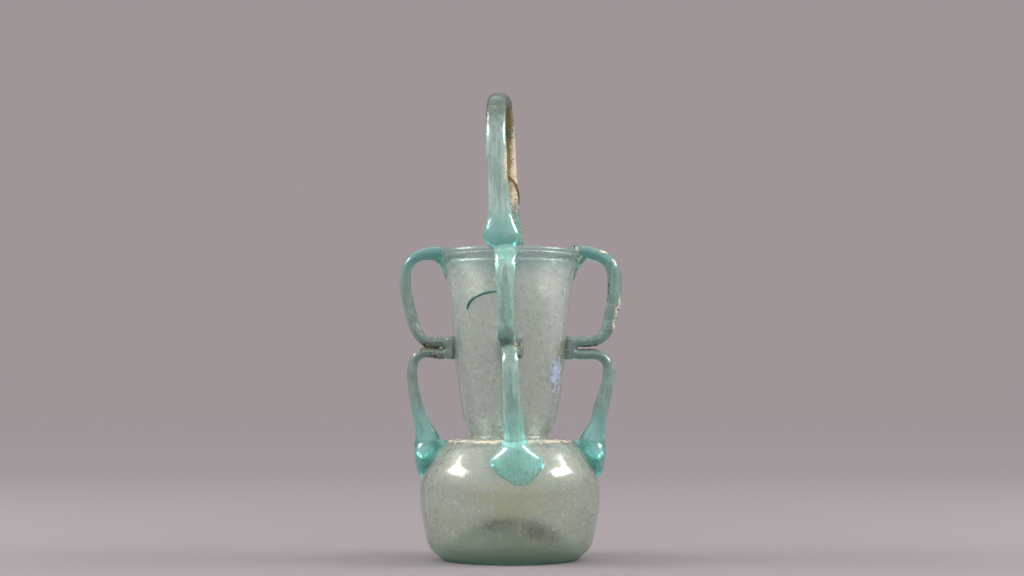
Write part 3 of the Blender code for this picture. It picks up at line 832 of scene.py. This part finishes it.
def side_handle(name, settings, space):
    """Draws one two-tier side handle and melts it onto the vessel."""
    azimuth, step, drift, kind, root_drop, tip_drop, root_turn = SIDE_HANDLES[name]
    upper, lower = (
        (ROUND_UPPER, ROUND_LOWER) if kind == "round" else (SQUARE_UPPER, SQUARE_LOWER)
    )
    upper = [
        (r, z - root_drop * share_of(z, ROOT_START, ROOT_SPAN), w, t) for r, z, w, t in upper
    ]
    drop = [(r, z - tip_drop * share_of(z, TIP_START, TIP_SPAN), w, t) for r, z, w, t in DROP]
    tail = [(r, z - root_drop, w, t) for r, z, w, t in LIP_TAIL]
    lean = lean_of_lower_tier(step, drift)
    pieces = [
        trail(name, upper, settings.groove),
        trail("lower tier", [*lower, *drop], settings.groove, peak=DROP_PEAK, lean_of=lean),
        trail("fold", FOLD, lean_of=lean_of_fold(step)),
        fold_root(root_turn),
        trail("drop top", DROP_TOP, lean_of=lambda height: lean(DROP_TOP_HEIGHT)),
        trail("lip tail", tail),
    ]
    for place, radius in KNOBS.get(name, ()):
        start_clean()
        bpy.ops.mesh.primitive_uv_sphere_add(radius=radius * MM)
        bpy.ops.transform.resize(value=KNOB_SHAPE)
        bpy.ops.transform.translate(value=[c * MM for c in place])
        bpy.ops.object.transform_apply(location=True, rotation=True, scale=True)
        pieces.append(bpy.context.object)
    item = melted(pieces, name, settings.melt)
    strayed(item, SIDE_STRAY * MM, TRAIL_SWELL, above_drops)
    seated(item, [space], settings.seam)
    return turned_round(item, math.radians(azimuth))


def basket_shift(height):
    """How far the basket handle stands to the side of the axis at a height."""
    share = share_of(height, LIP_TOP, BASKET_RISE)
    return BASKET_SHIFT + BASKET_LEAN * math.sin(share * math.pi / 2)


def set_inputs(item, inputs):
    """Sets inputs of a node, each to a value or linked from a socket."""
    for key, value in inputs.items():
        if isinstance(value, bpy.types.NodeSocket):
            item.id_data.links.new(value, item.inputs[key])
        else:
            item.inputs[key].default_value = value


def add_node(tree, kind, inputs, **settings):
    """Adds a shader node with its settings and inputs."""
    item = tree.nodes.new(f"ShaderNode{kind}")
    for key, value in settings.items():
        setattr(item, key, value)
    set_inputs(item, inputs)
    return item


def new_material(name, depth=None):
    """A material, its nodes, its Principled shader, and the place of a point on the piece. Thick
    glass also has a depth: the colour that light takes on in it, and how strongly."""
    material = bpy.data.materials.new(name)
    material.use_nodes = True
    tree = material.node_tree
    if depth:
        taken = add_node(tree, "VolumeAbsorption", {
            "Color": colour(depth[0]), "Density": depth[1],
        })
        set_inputs(tree.nodes["Material Output"], {"Volume": taken.outputs["Volume"]})
    place = add_node(tree, "TexCoord", {}).outputs["Object"]
    return material, tree, tree.nodes["Principled BSDF"], place


def colour(value):
    """A colour with full alpha."""
    return (*value, 1.0)


def blown_glass():
    """Free-blown pale soda-lime glass, inflated on the pipe and tooled, then buried for centuries.
    Burial left it hazy and finely pitted, with a yellowish film on the body, so that it is seen
    through but never quite clear. Real pits are too fine to show, so they are drawn coarser."""
    depth = (bpy.context.scene.jar_colours.pale_depth, 36.0)
    material, tree, shader, place = new_material("free-blown pale glass", depth)
    height = add_node(tree, "SeparateXYZ", {0: place}).outputs["Z"]
    grains = {
        name: add_node(tree, "TexNoise", {
            "Vector": place, "Scale": per_mm(size), "Detail": detail, "Roughness": roughness,
        }).outputs["Fac"]
        for name, size, detail, roughness in (
            ("clouds", 14, 4.0, 0.65),
            ("mottle", 3.2, 3.0, 0.6),
            ("flecks", 1.4, 1.0, 0.5),
            ("pits", 0.7, 2.0, 0.6),
        )
    }
    set_inputs(shader, {
        "Base Color": blown_tint(tree, place, height, grains),
        "Roughness": blown_roughness(tree, height, grains["mottle"]),
        "Normal": blown_relief(tree, place, height, grains),
        "Transmission Weight": 0.925,
        "IOR": GLASS_IOR,
    })
    return material


def blown_tint(tree, place, height, grains):
    """The colour of the blown glass, in layers: the film, spots, specks and flecks, painted shade
    on the pushed-in base, the thick foot with painted shade at its bottom, the clean lip and the
    stains."""
    colours = bpy.context.scene.jar_colours
    spots, specks, flecks = (
        add_node(tree, "MapRange", {
            "Value": grains[name], "From Min": thin, "From Max": full, "To Max": most,
        }).outputs["Result"]
        for name, thin, full, most in (
            ("mottle", 0.42, 0.66, 0.18), ("pits", 0.44, 0.60, 0.5), ("flecks", 0.60, 0.70, 0.5),
        )
    )
    mottle = grains["mottle"]
    layers = [
        (film_mask(tree, height, grains["clouds"], mottle), colours.olive),
        (spots, srgb("d6dabf")),
        (specks, srgb("cdd8cf")),
        (flecks, srgb("d8cf9e")),
        # painted shade on the pushed-in base, for the darker dome seen through the wall
        (kick_shade_mask(tree, place, height), srgb("ced9cb")),
        # the thick foot, partly its own colour and partly painted shade; the lower ring is painted
        # shadow along the contact with the floor
        (foot_colour_and_shade_mask(tree, height, mottle, 9.0, 1.0), srgb("d2e5d7")),
        (foot_colour_and_shade_mask(tree, height, mottle, 3.4, 0.6), srgb("8ab09c")),
        (lip_mask(tree, height), srgb("c9e0df")),
    ]
    for name, centre, reach, shade in STAINS:
        layers.append((patch_mask(tree, place, grains[name], centre, reach), srgb(shade)))
    tint = colour(colours.pale)
    for mask, shade in layers:
        tint = add_node(tree, "Mix", {
            "Factor": mask, "A": tint, "B": colour(shade),
        }, data_type="RGBA").outputs["Result"]
    return tint


def blown_roughness(tree, height, mottle):
    """How rough the blown glass is: a little unevenly, more on its inner face, which blurs what
    lies behind, and most at the foot."""
    outside = add_node(tree, "MapRange", {
        "Value": mottle, "From Min": 0.3, "From Max": 0.7, "To Min": 0.10, "To Max": 0.20,
    }).outputs["Result"]
    inside = add_node(tree, "Attribute", {}, attribute_name="hollow side").outputs["Fac"]
    worn = add_node(tree, "MapRange", {
        "Value": height, "From Min": 58 * MM, "From Max": 50 * MM, "To Min": 0.10, "To Max": 0.14,
    }).outputs["Result"]
    wall = add_node(tree, "Math", {0: inside, 1: worn, 2: outside},
                    operation="MULTIPLY_ADD").outputs[0]
    foot = add_node(tree, "MapRange", {
        "Value": height, "From Min": 12 * MM, "From Max": 4 * MM, "To Max": 0.25,
    }).outputs["Result"]
    return add_node(tree, "Math", {0: wall, 1: foot}, operation="ADD").outputs[0]


def blown_relief(tree, place, height, grains):
    """The relief of the blown glass: tall waves from the pipe, dimples and pits, which fade out
    at the foot and at the fire-polished lip."""
    tall = add_node(tree, "Mapping", {"Vector": place, "Scale": (1, 1, 0.22)})
    waves = add_node(tree, "TexNoise", {
        "Vector": tall.outputs["Vector"], "Scale": per_mm(9), "Detail": 1.0,
    }).outputs["Fac"]
    over_foot, under_lip = (
        add_node(tree, "MapRange", {
            "Value": height, "From Min": none * MM, "From Max": full * MM,
        }).outputs["Result"]
        for none, full in ((6, 20), (134, 128))
    )
    uneven = add_node(tree, "Math", {0: over_foot, 1: under_lip}, operation="MULTIPLY").outputs[0]
    below = {}
    for grain, relief in ((waves, 0.4), (grains["mottle"], 0.015), (grains["pits"], 0.012)):
        normal = add_node(tree, "Bump", {
            "Height": grain, "Strength": uneven, "Distance": relief * MM, **below,
        }).outputs["Normal"]
        below = {"Normal": normal}
    return normal


def film_mask(tree, height, clouds, mottle):
    """Where the yellowish film lies: on the body, in clouds with a mottled edge."""
    body = add_node(tree, "MapRange", {
        "Value": height, "From Min": 56 * MM, "From Max": 48 * MM, "To Min": 0.1, "To Max": 1.0,
    }, interpolation_type="SMOOTHSTEP").outputs["Result"]
    mixed = add_node(tree, "Math", {0: mottle, 1: 0.6, 2: clouds},
                     operation="MULTIPLY_ADD").outputs[0]
    cover = add_node(tree, "MapRange", {
        "Value": mixed, "From Min": 0.70, "From Max": 0.98,
    }).outputs["Result"]
    return add_node(tree, "Math", {0: body, 1: cover}, operation="MULTIPLY").outputs[0]


def foot_colour_and_shade_mask(tree, height, mottle, top, full):
    """The thick glass of the foot, darker and greener than the wall: partly the colour of the
    thick glass, and partly painted shade for the light lost to inner reflection and for the shadow
    where it meets the floor. It starts at the top height in millimetres, and is all there at the
    full one."""
    low = add_node(tree, "MapRange", {
        "Value": height, "From Min": top * MM, "From Max": full * MM,
    }, interpolation_type="SMOOTHSTEP").outputs["Result"]
    uneven = add_node(tree, "MapRange", {
        "Value": mottle, "From Min": 0.3, "From Max": 0.7, "To Min": 0.6, "To Max": 1.0,
    }).outputs["Result"]
    return add_node(tree, "Math", {0: low, 1: uneven}, operation="MULTIPLY").outputs[0]


def kick_shade_mask(tree, place, height):
    """The pushed-in base, painted a darker grey-green: painted shade for the dome seen through the
    wall.
    """
    flat = add_node(tree, "VectorMath", {0: place, 1: (1, 1, 0)}, operation="MULTIPLY")
    radius = add_node(tree, "VectorMath", {0: flat.outputs["Vector"]},
                      operation="LENGTH").outputs["Value"]
    inner = add_node(tree, "MapRange", {
        "Value": radius, "From Min": 26 * MM, "From Max": 23 * MM,
    }).outputs["Result"]
    low = add_node(tree, "MapRange", {
        "Value": height, "From Min": 30 * MM, "From Max": 24 * MM,
    }).outputs["Result"]
    return add_node(tree, "Math", {0: inner, 1: low}, operation="MULTIPLY").outputs[0]


def lip_mask(tree, height):
    """The fire-polished lip, which is cleaner and bluer than the neck under it."""
    return add_node(tree, "MapRange", {
        "Value": height, "From Min": 128 * MM, "From Max": 134 * MM, "To Max": 0.85,
    }, interpolation_type="SMOOTHSTEP").outputs["Result"]


def patch_mask(tree, place, grain, centre, reach):
    """A patch round a centre in millimetres, solid in its middle and broken up by the grain."""
    near = add_node(tree, "Mapping", {
        "Vector": place,
        "Location": [-c / r for c, r in zip(centre, reach)],
        "Scale": [1 / (r * MM) for r in reach],
    })
    away = add_node(tree, "VectorMath", {0: near.outputs["Vector"]},
                    operation="LENGTH").outputs["Value"]
    worn = add_node(tree, "Math", {0: grain, 1: -2.2, 2: away},
                    operation="MULTIPLY_ADD").outputs[0]
    return add_node(tree, "MapRange", {
        "Value": worn, "From Min": -0.25, "From Max": -0.75,
    }, interpolation_type="SMOOTHSTEP").outputs["Result"]


def band_mask(tree, height, middle, reach, core):
    """A level band round a height in millimetres, full in its core and gone at its reach."""
    away = add_node(tree, "Math", {
        0: add_node(tree, "Math", {0: height, 1: middle * MM},
                    operation="SUBTRACT").outputs[0],
    }, operation="ABSOLUTE").outputs[0]
    return add_node(tree, "MapRange", {
        "Value": away, "From Min": reach * MM, "From Max": core * MM,
    }, interpolation_type="SMOOTHSTEP").outputs["Result"]


def trail_masks(tree, place):
    """Masks for the parts of the trailed glass that look different. Where it is thick, it shows
    its blue-green colour and stays clear: in the drops, in the feet by the lip and, less, along
    the front and on the right. It is duller over the crown of the basket handle, which also gets
    painted shade as it faces the light from above, in the folds, in the feet and down the front
    handle."""
    parts = add_node(tree, "SeparateXYZ", {0: place}).outputs
    masks = {
        name: add_node(tree, "MapRange", {
            "Value": parts[axis], "From Min": start * MM, "From Max": full * MM, "To Max": most,
        }, interpolation_type=rise).outputs["Result"]
        for name, (axis, start, full, most, rise) in TRAIL_RAMPS.items()
    }
    for name, band in TRAIL_BANDS.items():
        masks[name] = band_mask(tree, parts["Z"], *band)
    thick = masks["drops"]
    for name in ("feet", "front", "right"):
        thick = add_node(tree, "Math", {0: thick, 1: masks[name]}, operation="MAXIMUM").outputs[0]
    return {**masks, "thick": thick}


def trailed_glass():
    """Trailed blue-green glass, drawn hot from the pipe in thick rods. Drawing left fine streaks
    along the rod, and seeds of air and burial make it a little milky, with brownish stains. The
    streaks and seeds are drawn a little coarser than real ones, so that they show."""
    depth = (bpy.context.scene.jar_colours.teal_depth, 62.0)
    material, tree, shader, place = new_material("trailed blue-green glass", depth)
    along = add_node(tree, "Mapping", {"Vector": place, "Scale": (1, 1, 0.10)})
    streaks = add_node(tree, "TexNoise", {
        "Vector": along.outputs["Vector"], "Scale": per_mm(1.3), "Detail": 3.0,
    }).outputs["Fac"]
    blotches = add_node(tree, "TexNoise", {
        "Vector": place, "Scale": per_mm(5.0), "Detail": 5.0, "Roughness": 0.75,
    }).outputs["Fac"]
    seeds = add_node(tree, "TexNoise", {
        "Vector": place, "Scale": per_mm(0.8), "Detail": 2.0,
    }).outputs["Fac"]
    masks = trail_masks(tree, place)
    clear, drawn = (
        add_node(tree, "MapRange", {
            "Value": masks["thick"], "To Min": thin, "To Max": thick,
        }).outputs["Result"]
        for thin, thick in ((0.84, 0.90), (0.8, 0.1))
    )
    # Less clear over the crown, so that its dark colour, partly stain and partly painted shade,
    # shows more
    for name, loss in (("crown", -0.5), ("dull front", -0.19)):
        clear = add_node(tree, "Math", {0: masks[name], 1: loss, 2: clear},
                         operation="MULTIPLY_ADD").outputs[0]
    ribs = add_node(tree, "Bump", {
        "Height": streaks, "Strength": drawn, "Distance": 0.18 * MM,
    })
    grainy = add_node(tree, "Bump", {
        "Height": seeds, "Strength": 0.5, "Distance": 0.05 * MM, "Normal": ribs.outputs["Normal"],
    })
    rough = add_node(tree, "MapRange", {
        "Value": blotches, "From Min": 0.4, "From Max": 0.7, "To Min": 0.07, "To Max": 0.22,
    }).outputs["Result"]
    set_inputs(shader, {
        "Base Color": trailed_tint(tree, masks, streaks, blotches),
        "Roughness": rough,
        "Normal": grainy.outputs["Normal"],
        "Transmission Weight": clear,
        "IOR": GLASS_IOR,
    })
    return material


def trailed_tint(tree, masks, streaks, blotches):
    """The colour of the trailed glass: greyer and more streaked where it is thin, duller where it
    is worn, darker with painted shade over the crown, which faces the light from above, and
    stained in blotches."""
    colours = bpy.context.scene.jar_colours
    body = add_node(tree, "Mix", {
        "Factor": masks["thick"], "A": colour(colours.thin_teal), "B": colour(colours.teal),
    }, data_type="RGBA").outputs["Result"]
    darkest = add_node(tree, "MapRange", {
        "Value": masks["thick"], "From Min": 0.5, "To Min": 0.68, "To Max": 0.87,
    }).outputs["Result"]
    shade = add_node(tree, "MapRange", {
        "Value": streaks, "From Min": 0.35, "From Max": 0.65, "To Min": 1.04, "To Max": darkest,
    }).outputs["Result"]
    tint = add_node(tree, "VectorMath", {0: body, 3: shade}, operation="SCALE").outputs[0]
    layers = []
    for name, (most, code) in WORN_AND_SHADED.items():
        worn = add_node(tree, "Math", {0: masks[name], 1: most}, operation="MULTIPLY")
        layers.append((worn.outputs[0], code))
    stained = add_node(tree, "MapRange", {
        "Value": blotches, "From Min": 0.56, "From Max": 0.70, "To Max": 0.4,
    }).outputs["Result"]
    for mask, code in (*layers, (stained, "a89c80")):
        tint = add_node(tree, "Mix", {
            "Factor": mask, "A": tint, "B": colour(srgb(code)),
        }, data_type="RGBA").outputs["Result"]
    return tint


def iridescent_film():
    """A thin flake of weathered glass that splits light into blue and violet, like mother of
    pearl. It hides what is behind it more than the glass does."""
    material, tree, shader, place = new_material("iridescent weathering film")
    layers = add_node(tree, "TexNoise", {
        "Vector": place, "Scale": per_mm(1.6), "Detail": 2.0,
    }).outputs["Fac"]
    spread = add_node(tree, "MapRange", {
        "Value": layers, "From Min": 0.35, "From Max": 0.65,
    }).outputs["Result"]
    tint = add_node(tree, "Mix", {
        "Factor": spread, "A": colour(srgb("cde4f8")), "B": colour(srgb("c0c6f0")),
    }, data_type="RGBA").outputs["Result"]
    set_inputs(shader, {
        "Base Color": tint, "Roughness": 0.22, "Transmission Weight": 0.62, "IOR": GLASS_IOR,
    })
    return material


def crusted(name, base, size):
    """A matt crust that burial left on the glass, grainy and uneven in colour."""
    material, tree, shader, place = new_material(name)
    grain = add_node(tree, "TexNoise", {
        "Vector": place, "Scale": per_mm(size), "Detail": 4.0, "Roughness": 0.7,
    }).outputs["Fac"]
    tint = add_node(tree, "Mix", {
        "Factor": grain, "A": colour(base), "B": colour([c * 0.45 for c in base]),
    }, data_type="RGBA").outputs["Result"]
    bump = add_node(tree, "Bump", {
        "Height": grain, "Strength": 0.6, "Distance": 0.15 * MM,
    })
    set_inputs(shader, {
        "Base Color": tint, "Roughness": 0.85, "Normal": bump.outputs["Normal"],
    })
    return material


def thread_glass(name, base):
    """A thin thread of glass, dragged on hot and nearly opaque in its depth."""
    material, tree, shader, place = new_material(name)
    seeds = add_node(tree, "TexNoise", {
        "Vector": place, "Scale": per_mm(2.0), "Detail": 2.0,
    }).outputs["Fac"]
    tint = add_node(tree, "Mix", {
        "Factor": seeds, "A": colour(base), "B": colour([c * 0.5 for c in base]),
    }, data_type="RGBA").outputs["Result"]
    set_inputs(shader, {
        "Base Color": tint, "Roughness": 0.18, "Transmission Weight": 0.35, "IOR": GLASS_IOR,
    })
    return material


def dressed(item, material, node, crusts=(), extras=None):
    """Gives a finished piece its materials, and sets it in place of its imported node."""
    item.data.materials.clear()
    item.data.materials.append(material)
    if crusts:
        for extra in extras.values():
            item.data.materials.append(extra)
        names = list(extras)
        for polygon in item.data.polygons:
            point = polygon.center / MM
            for kind, centre, reach, cover in crusts:
                away = Vector(((point[k] - centre[k]) / reach[k] for k in range(3))).length
                coarse = noise.fractal(point * COARSE_EDGE[0], 0.6, 2.0, 3) * COARSE_EDGE[1]
                fine = noise.noise(point * FINE_EDGE[0]) * FINE_EDGE[1]
                if away + coarse + fine < cover:
                    polygon.material_index = 1 + names.index(kind)
    item.data.polygons.foreach_set("use_smooth", [True] * len(item.data.polygons))
    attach(item, "root")
    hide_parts(node)


def faces_hollow(polygon):
    """Whether the face of the vessel looks into its hollow."""
    centre, normal = polygon.center, polygon.normal
    if centre.z < KICK_TOP * MM and centre.xy.length < KICK_RADIUS * MM:
        return normal.z > 0
    return centre.xy.dot(normal.xy) < 0


def above_foot(point):
    """How freely the wall strays at a point: not at all at the foot, which stands level."""
    return share_of(point.z / MM, 1.8, 6.0)


def above_drops(point):
    """How freely a side handle strays at a point: less in its drop."""
    return max(0.2, share_of(point.z / MM, 50, 15))


class JAR_OT_blow_vessel(Operator):
    """Spin the vessel's outline into blown glass"""

    bl_idname = "jar.blow_vessel"
    bl_label = "Blow the Vessel"

    def execute(self, context):
        shape = context.scene.jar_shape
        item = spun_vessel("vessel", vessel_outline(shape.outline_step / MM), shape.sides)
        strayed(item, shape.unevenness, WALL_SWELL, above_foot)
        extras = {
            "film": iridescent_film(),
            "grime": crusted("dirt in the pushed-in base", srgb("1e2a26"), 0.9),
            "crust": crusted("chalky specks and painted crest highlight", context.scene.jar_colours.crust, 1.2),
        }
        side = item.data.attributes.new("hollow side", "FLOAT", "FACE")
        for polygon in item.data.polygons:
            side.data[polygon.index].value = faces_hollow(polygon)
        dressed(item, blown_glass(), "blown_vessel", CRUSTS["vessel"], extras)
        return {"FINISHED"}


class JAR_OT_trail_side_handles(Operator):
    """Draw the four two-tier side handles"""

    bl_idname = "jar.trail_side_handles"
    bl_label = "Trail the Side Handles"

    def execute(self, context):
        shape = context.scene.jar_shape
        colours = context.scene.jar_colours
        space = vessel_space()
        glass = trailed_glass()
        extras = {
            "crust": crusted("chalky weathering crust", colours.crust, 2.2),
            "soil": crusted("burial soil", colours.soil, 1.6),
        }
        for name in SIDE_HANDLES:
            item = side_handle(name, shape, space)
            item.name = f"trailed_{name}"
            dressed(item, glass, name, CRUSTS[name], extras)
        bpy.data.objects.remove(space)
        return {"FINISHED"}


class JAR_OT_draw_basket(Operator):
    """Draw the basket handle over the mouth"""

    bl_idname = "jar.draw_basket"
    bl_label = "Draw the Basket Handle"

    def execute(self, context):
        shape = context.scene.jar_shape
        space = vessel_space()
        strap = trail("basket", BASKET, shape.groove * 1.3, shift_of=basket_shift)
        turned_round(strap, math.pi / 2 + BASKET_TURN)
        rests_on = [space] + [
            bpy.data.objects[f"trailed_side_handle_{side}"] for side in ("front", "back")
        ]
        item = melted([strap], "basket", shape.melt)
        strayed(item, BASKET_STRAY * MM, TRAIL_SWELL, lambda point: 1.0)
        seated(item, rests_on, shape.seam, below=LIP_TOP + 2.5)
        extras = {
            "crust": bpy.data.materials["chalky weathering crust"],
            "stain": crusted("rusty burial stain", srgb("9c8a5e"), 2.0),
        }
        glass = bpy.data.materials["trailed blue-green glass"]
        item.name = "drawn_basket_handle"
        dressed(item, glass, "basket_handle", CRUSTS["basket_handle"], extras)
        bpy.data.objects.remove(space)
        return {"FINISHED"}


def thread_path(name, points, radius):
    """A thin thread along the points, thinner towards its ends."""
    start_clean()
    bpy.ops.curve.primitive_bezier_curve_add()
    item = bpy.context.object
    item.name = name
    curve = item.data
    curve.splines.clear()
    spline = curve.splines.new("POLY")
    spline.points.add(len(points) - 1)
    for index, point in enumerate(points):
        share = index / (len(points) - 1)
        spline.points[index].co = (*point, 1)
        spline.points[index].radius = min(1.0, 0.3 + 6 * share, 0.25 + 4.5 * (1 - share))
    curve.dimensions = "3D"
    curve.bevel_depth = radius
    curve.bevel_resolution = 4
    curve.use_fill_caps = True
    bpy.ops.object.convert(target="MESH")
    item = bpy.context.object
    bpy.ops.object.transform_apply(location=True, rotation=True, scale=True)
    bpy.ops.object.mode_set(mode="EDIT")
    end_editing(0.001 * MM)
    return item


def neck_thread_points():
    """The points along the thread on the neck, which runs level and then turns down."""
    points = []
    for k in range(THREAD_STEPS + 1):
        share = math.pi / 2 * k / THREAD_STEPS
        azimuth = math.radians(NECK_THREAD_START - NECK_THREAD_RUN * math.sin(share))
        height = NECK_THREAD_TOP - NECK_THREAD_FALL * (1 - math.cos(share))
        stand = neck_radius(height) + NECK_THREAD_RADIUS
        place = Vector((stand * math.cos(azimuth), stand * math.sin(azimuth), height))
        points.append(place * MM)
    return points


def handle_thread_points():
    """The points along the thread on the basket handle, which falls round one side of its leg.
    They are given for a handle that isn't turned round yet."""
    middle, half_depth, half_width = HANDLE_THREAD_LEG
    points = []
    for k in range(THREAD_STEPS + 1):
        share = k / THREAD_STEPS
        around = HANDLE_THREAD_TURN * math.sin(share * math.pi / 2)
        height = LIP_TOP + BASKET_RISE - HANDLE_THREAD_DROP - HANDLE_THREAD_FALL * share
        place = Vector((
            middle - half_depth * math.cos(around), -half_width * math.sin(around), height,
        ))
        place.y += basket_shift(height)
        points.append(place * MM)
    return points


class JAR_OT_lay_threads(Operator):
    """Lay the thin threads on the neck and on the basket handle"""

    bl_idname = "jar.lay_threads"
    bl_label = "Lay the Threads"

    def execute(self, context):
        colours = context.scene.jar_colours
        item = thread_path("laid_neck_thread", neck_thread_points(), NECK_THREAD_RADIUS * MM)
        glass = thread_glass("dark thread glass", colours.thread)
        dressed(item, glass, "neck_thread")
        item = thread_path("laid_handle_thread", handle_thread_points(), HANDLE_THREAD_RADIUS * MM)
        turned_round(item, math.pi / 2 + BASKET_TURN)
        glass = thread_glass("stained thread glass", colours.stain)
        dressed(item, glass, "handle_thread")
        return {"FINISHED"}


def lay_floor(stage):
    """A plain matt floor. It is paler further out, where less light falls on it."""
    start_clean()
    bpy.ops.mesh.primitive_circle_add(vertices=96, radius=FLOOR_RADIUS, fill_type="NGON")
    floor = bpy.context.object
    floor.name = "floor"
    plain, tree, shader, place = new_material("plain floor")
    distance = add_node(tree, "VectorMath", {0: place}, operation="LENGTH")
    away = add_node(tree, "MapRange", {
        "Value": distance.outputs["Value"], "From Min": 0.2, "From Max": 1.9,
    }).outputs["Result"]
    tint = add_node(tree, "Mix", {
        "Factor": away, "A": colour(stage.floor),
        "B": colour([c * stage.far_floor for c in stage.floor]),
    }, data_type="RGBA").outputs["Result"]
    set_inputs(shader, {"Base Color": tint, "Roughness": 0.9, "Specular IOR Level": 0.1})
    floor.data.materials.append(plain)


def light_world(stage):
    """An even backdrop round the horizon, and soft light from above. The light comes down lower
    in front, behind the camera, than at the back."""
    world = bpy.data.worlds.new("studio")
    world.use_nodes = True
    tree = world.node_tree
    toward = add_node(tree, "TexCoord", {}).outputs["Generated"]
    parts = add_node(tree, "SeparateXYZ", {0: toward})
    height = add_node(tree, "Math", {
        0: parts.outputs["Y"], 1: -0.35, 2: parts.outputs["Z"],
    }, operation="MULTIPLY_ADD").outputs[0]
    above = add_node(tree, "MapRange", {
        "Value": height, "From Min": 0.15, "From Max": 0.65,
    }, interpolation_type="SMOOTHSTEP").outputs["Result"]
    tint = add_node(tree, "Mix", {
        "Factor": above, "A": colour(stage.backdrop),
        "B": colour([c * stage.sky for c in srgb("f4f0f2")]),
    }, data_type="RGBA", clamp_result=False).outputs["Result"]
    set_inputs(tree.nodes["Background"], {"Color": tint})
    bpy.context.scene.world = world


def hang_lights(stage):
    """One soft light on each side, aimed at the middle of the jar."""
    for name, side in (("side light left", -1), ("side light right", 1)):
        start_clean()
        spot = (side * LIGHT_PLACE[0], *LIGHT_PLACE[1:])
        bpy.ops.object.light_add(type="AREA", location=spot)
        lamp = bpy.context.object
        lamp.name = name
        lamp.data.shape = "RECTANGLE"
        lamp.data.size, lamp.data.size_y = LIGHT_SIZE
        lamp.data.energy = stage.soft_light
        lamp.data.color = srgb("fffaf5")
        aim = Vector(LIGHT_AIM) - lamp.location
        lamp.rotation_euler = aim.to_track_quat("-Z", "Y").to_euler()


def place_camera(stage):
    """The camera, where the photograph was taken from."""
    start_clean()
    bpy.ops.object.camera_add(location=CAMERA_PLACE, rotation=(CAMERA_TILT, 0, 0))
    camera = bpy.context.object
    camera.name = "photo camera"
    camera.data.lens = stage.lens
    camera.data.sensor_width = 36.0
    camera.data.clip_start = 0.01
    bpy.context.scene.camera = camera


class JAR_OT_set_stage(Operator):
    """Add the floor, the lights and the camera"""

    bl_idname = "jar.set_stage"
    bl_label = "Set the Stage"

    def execute(self, context):
        stage = context.scene.jar_stage
        lay_floor(stage)
        light_world(stage)
        hang_lights(stage)
        place_camera(stage)
        context.scene.view_settings.view_transform = "Standard"
        return {"FINISHED"}


class JAR_PT_panel(Panel):
    """Lists the steps that make the jar, with their settings"""

    bl_idname = "JAR_PT_panel"
    bl_label = "Glass Jar"
    bl_space_type = "VIEW_3D"
    bl_region_type = "UI"
    bl_category = "Glass Jar"

    def draw(self, context):
        scene = context.scene
        for settings in (scene.jar_shape, scene.jar_colours, scene.jar_stage):
            box = self.layout.box()
            for key in settings.__annotations__:
                box.prop(settings, key)
        for step in STEPS:
            self.layout.operator(step.bl_idname)


SETTINGS = {
    "jar_shape": JarShapeSettings,
    "jar_colours": JarColourSettings,
    "jar_stage": JarStageSettings,
}
STEPS = (
    JAR_OT_blow_vessel,
    JAR_OT_trail_side_handles,
    JAR_OT_draw_basket,
    JAR_OT_lay_threads,
    JAR_OT_set_stage,
)


def register():
    """Registers the settings, the steps and the panel."""
    for name, group in SETTINGS.items():
        bpy.utils.register_class(group)
        setattr(bpy.types.Scene, name, PointerProperty(type=group))
    for item in (*STEPS, JAR_PT_panel):
        bpy.utils.register_class(item)


def unregister():
    """Removes what register added."""
    for item in (JAR_PT_panel, *reversed(STEPS)):
        bpy.utils.unregister_class(item)
    for name, group in SETTINGS.items():
        delattr(bpy.types.Scene, name)
        bpy.utils.unregister_class(group)


def main():
    """Makes the jar step by step."""
    register()
    bpy.ops.jar.blow_vessel()
    bpy.ops.jar.trail_side_handles()
    bpy.ops.jar.draw_basket()
    bpy.ops.jar.lay_threads()
    bpy.ops.jar.set_stage()
    bpy.context.view_layer.update()


if __name__ == "__main__":
    main()
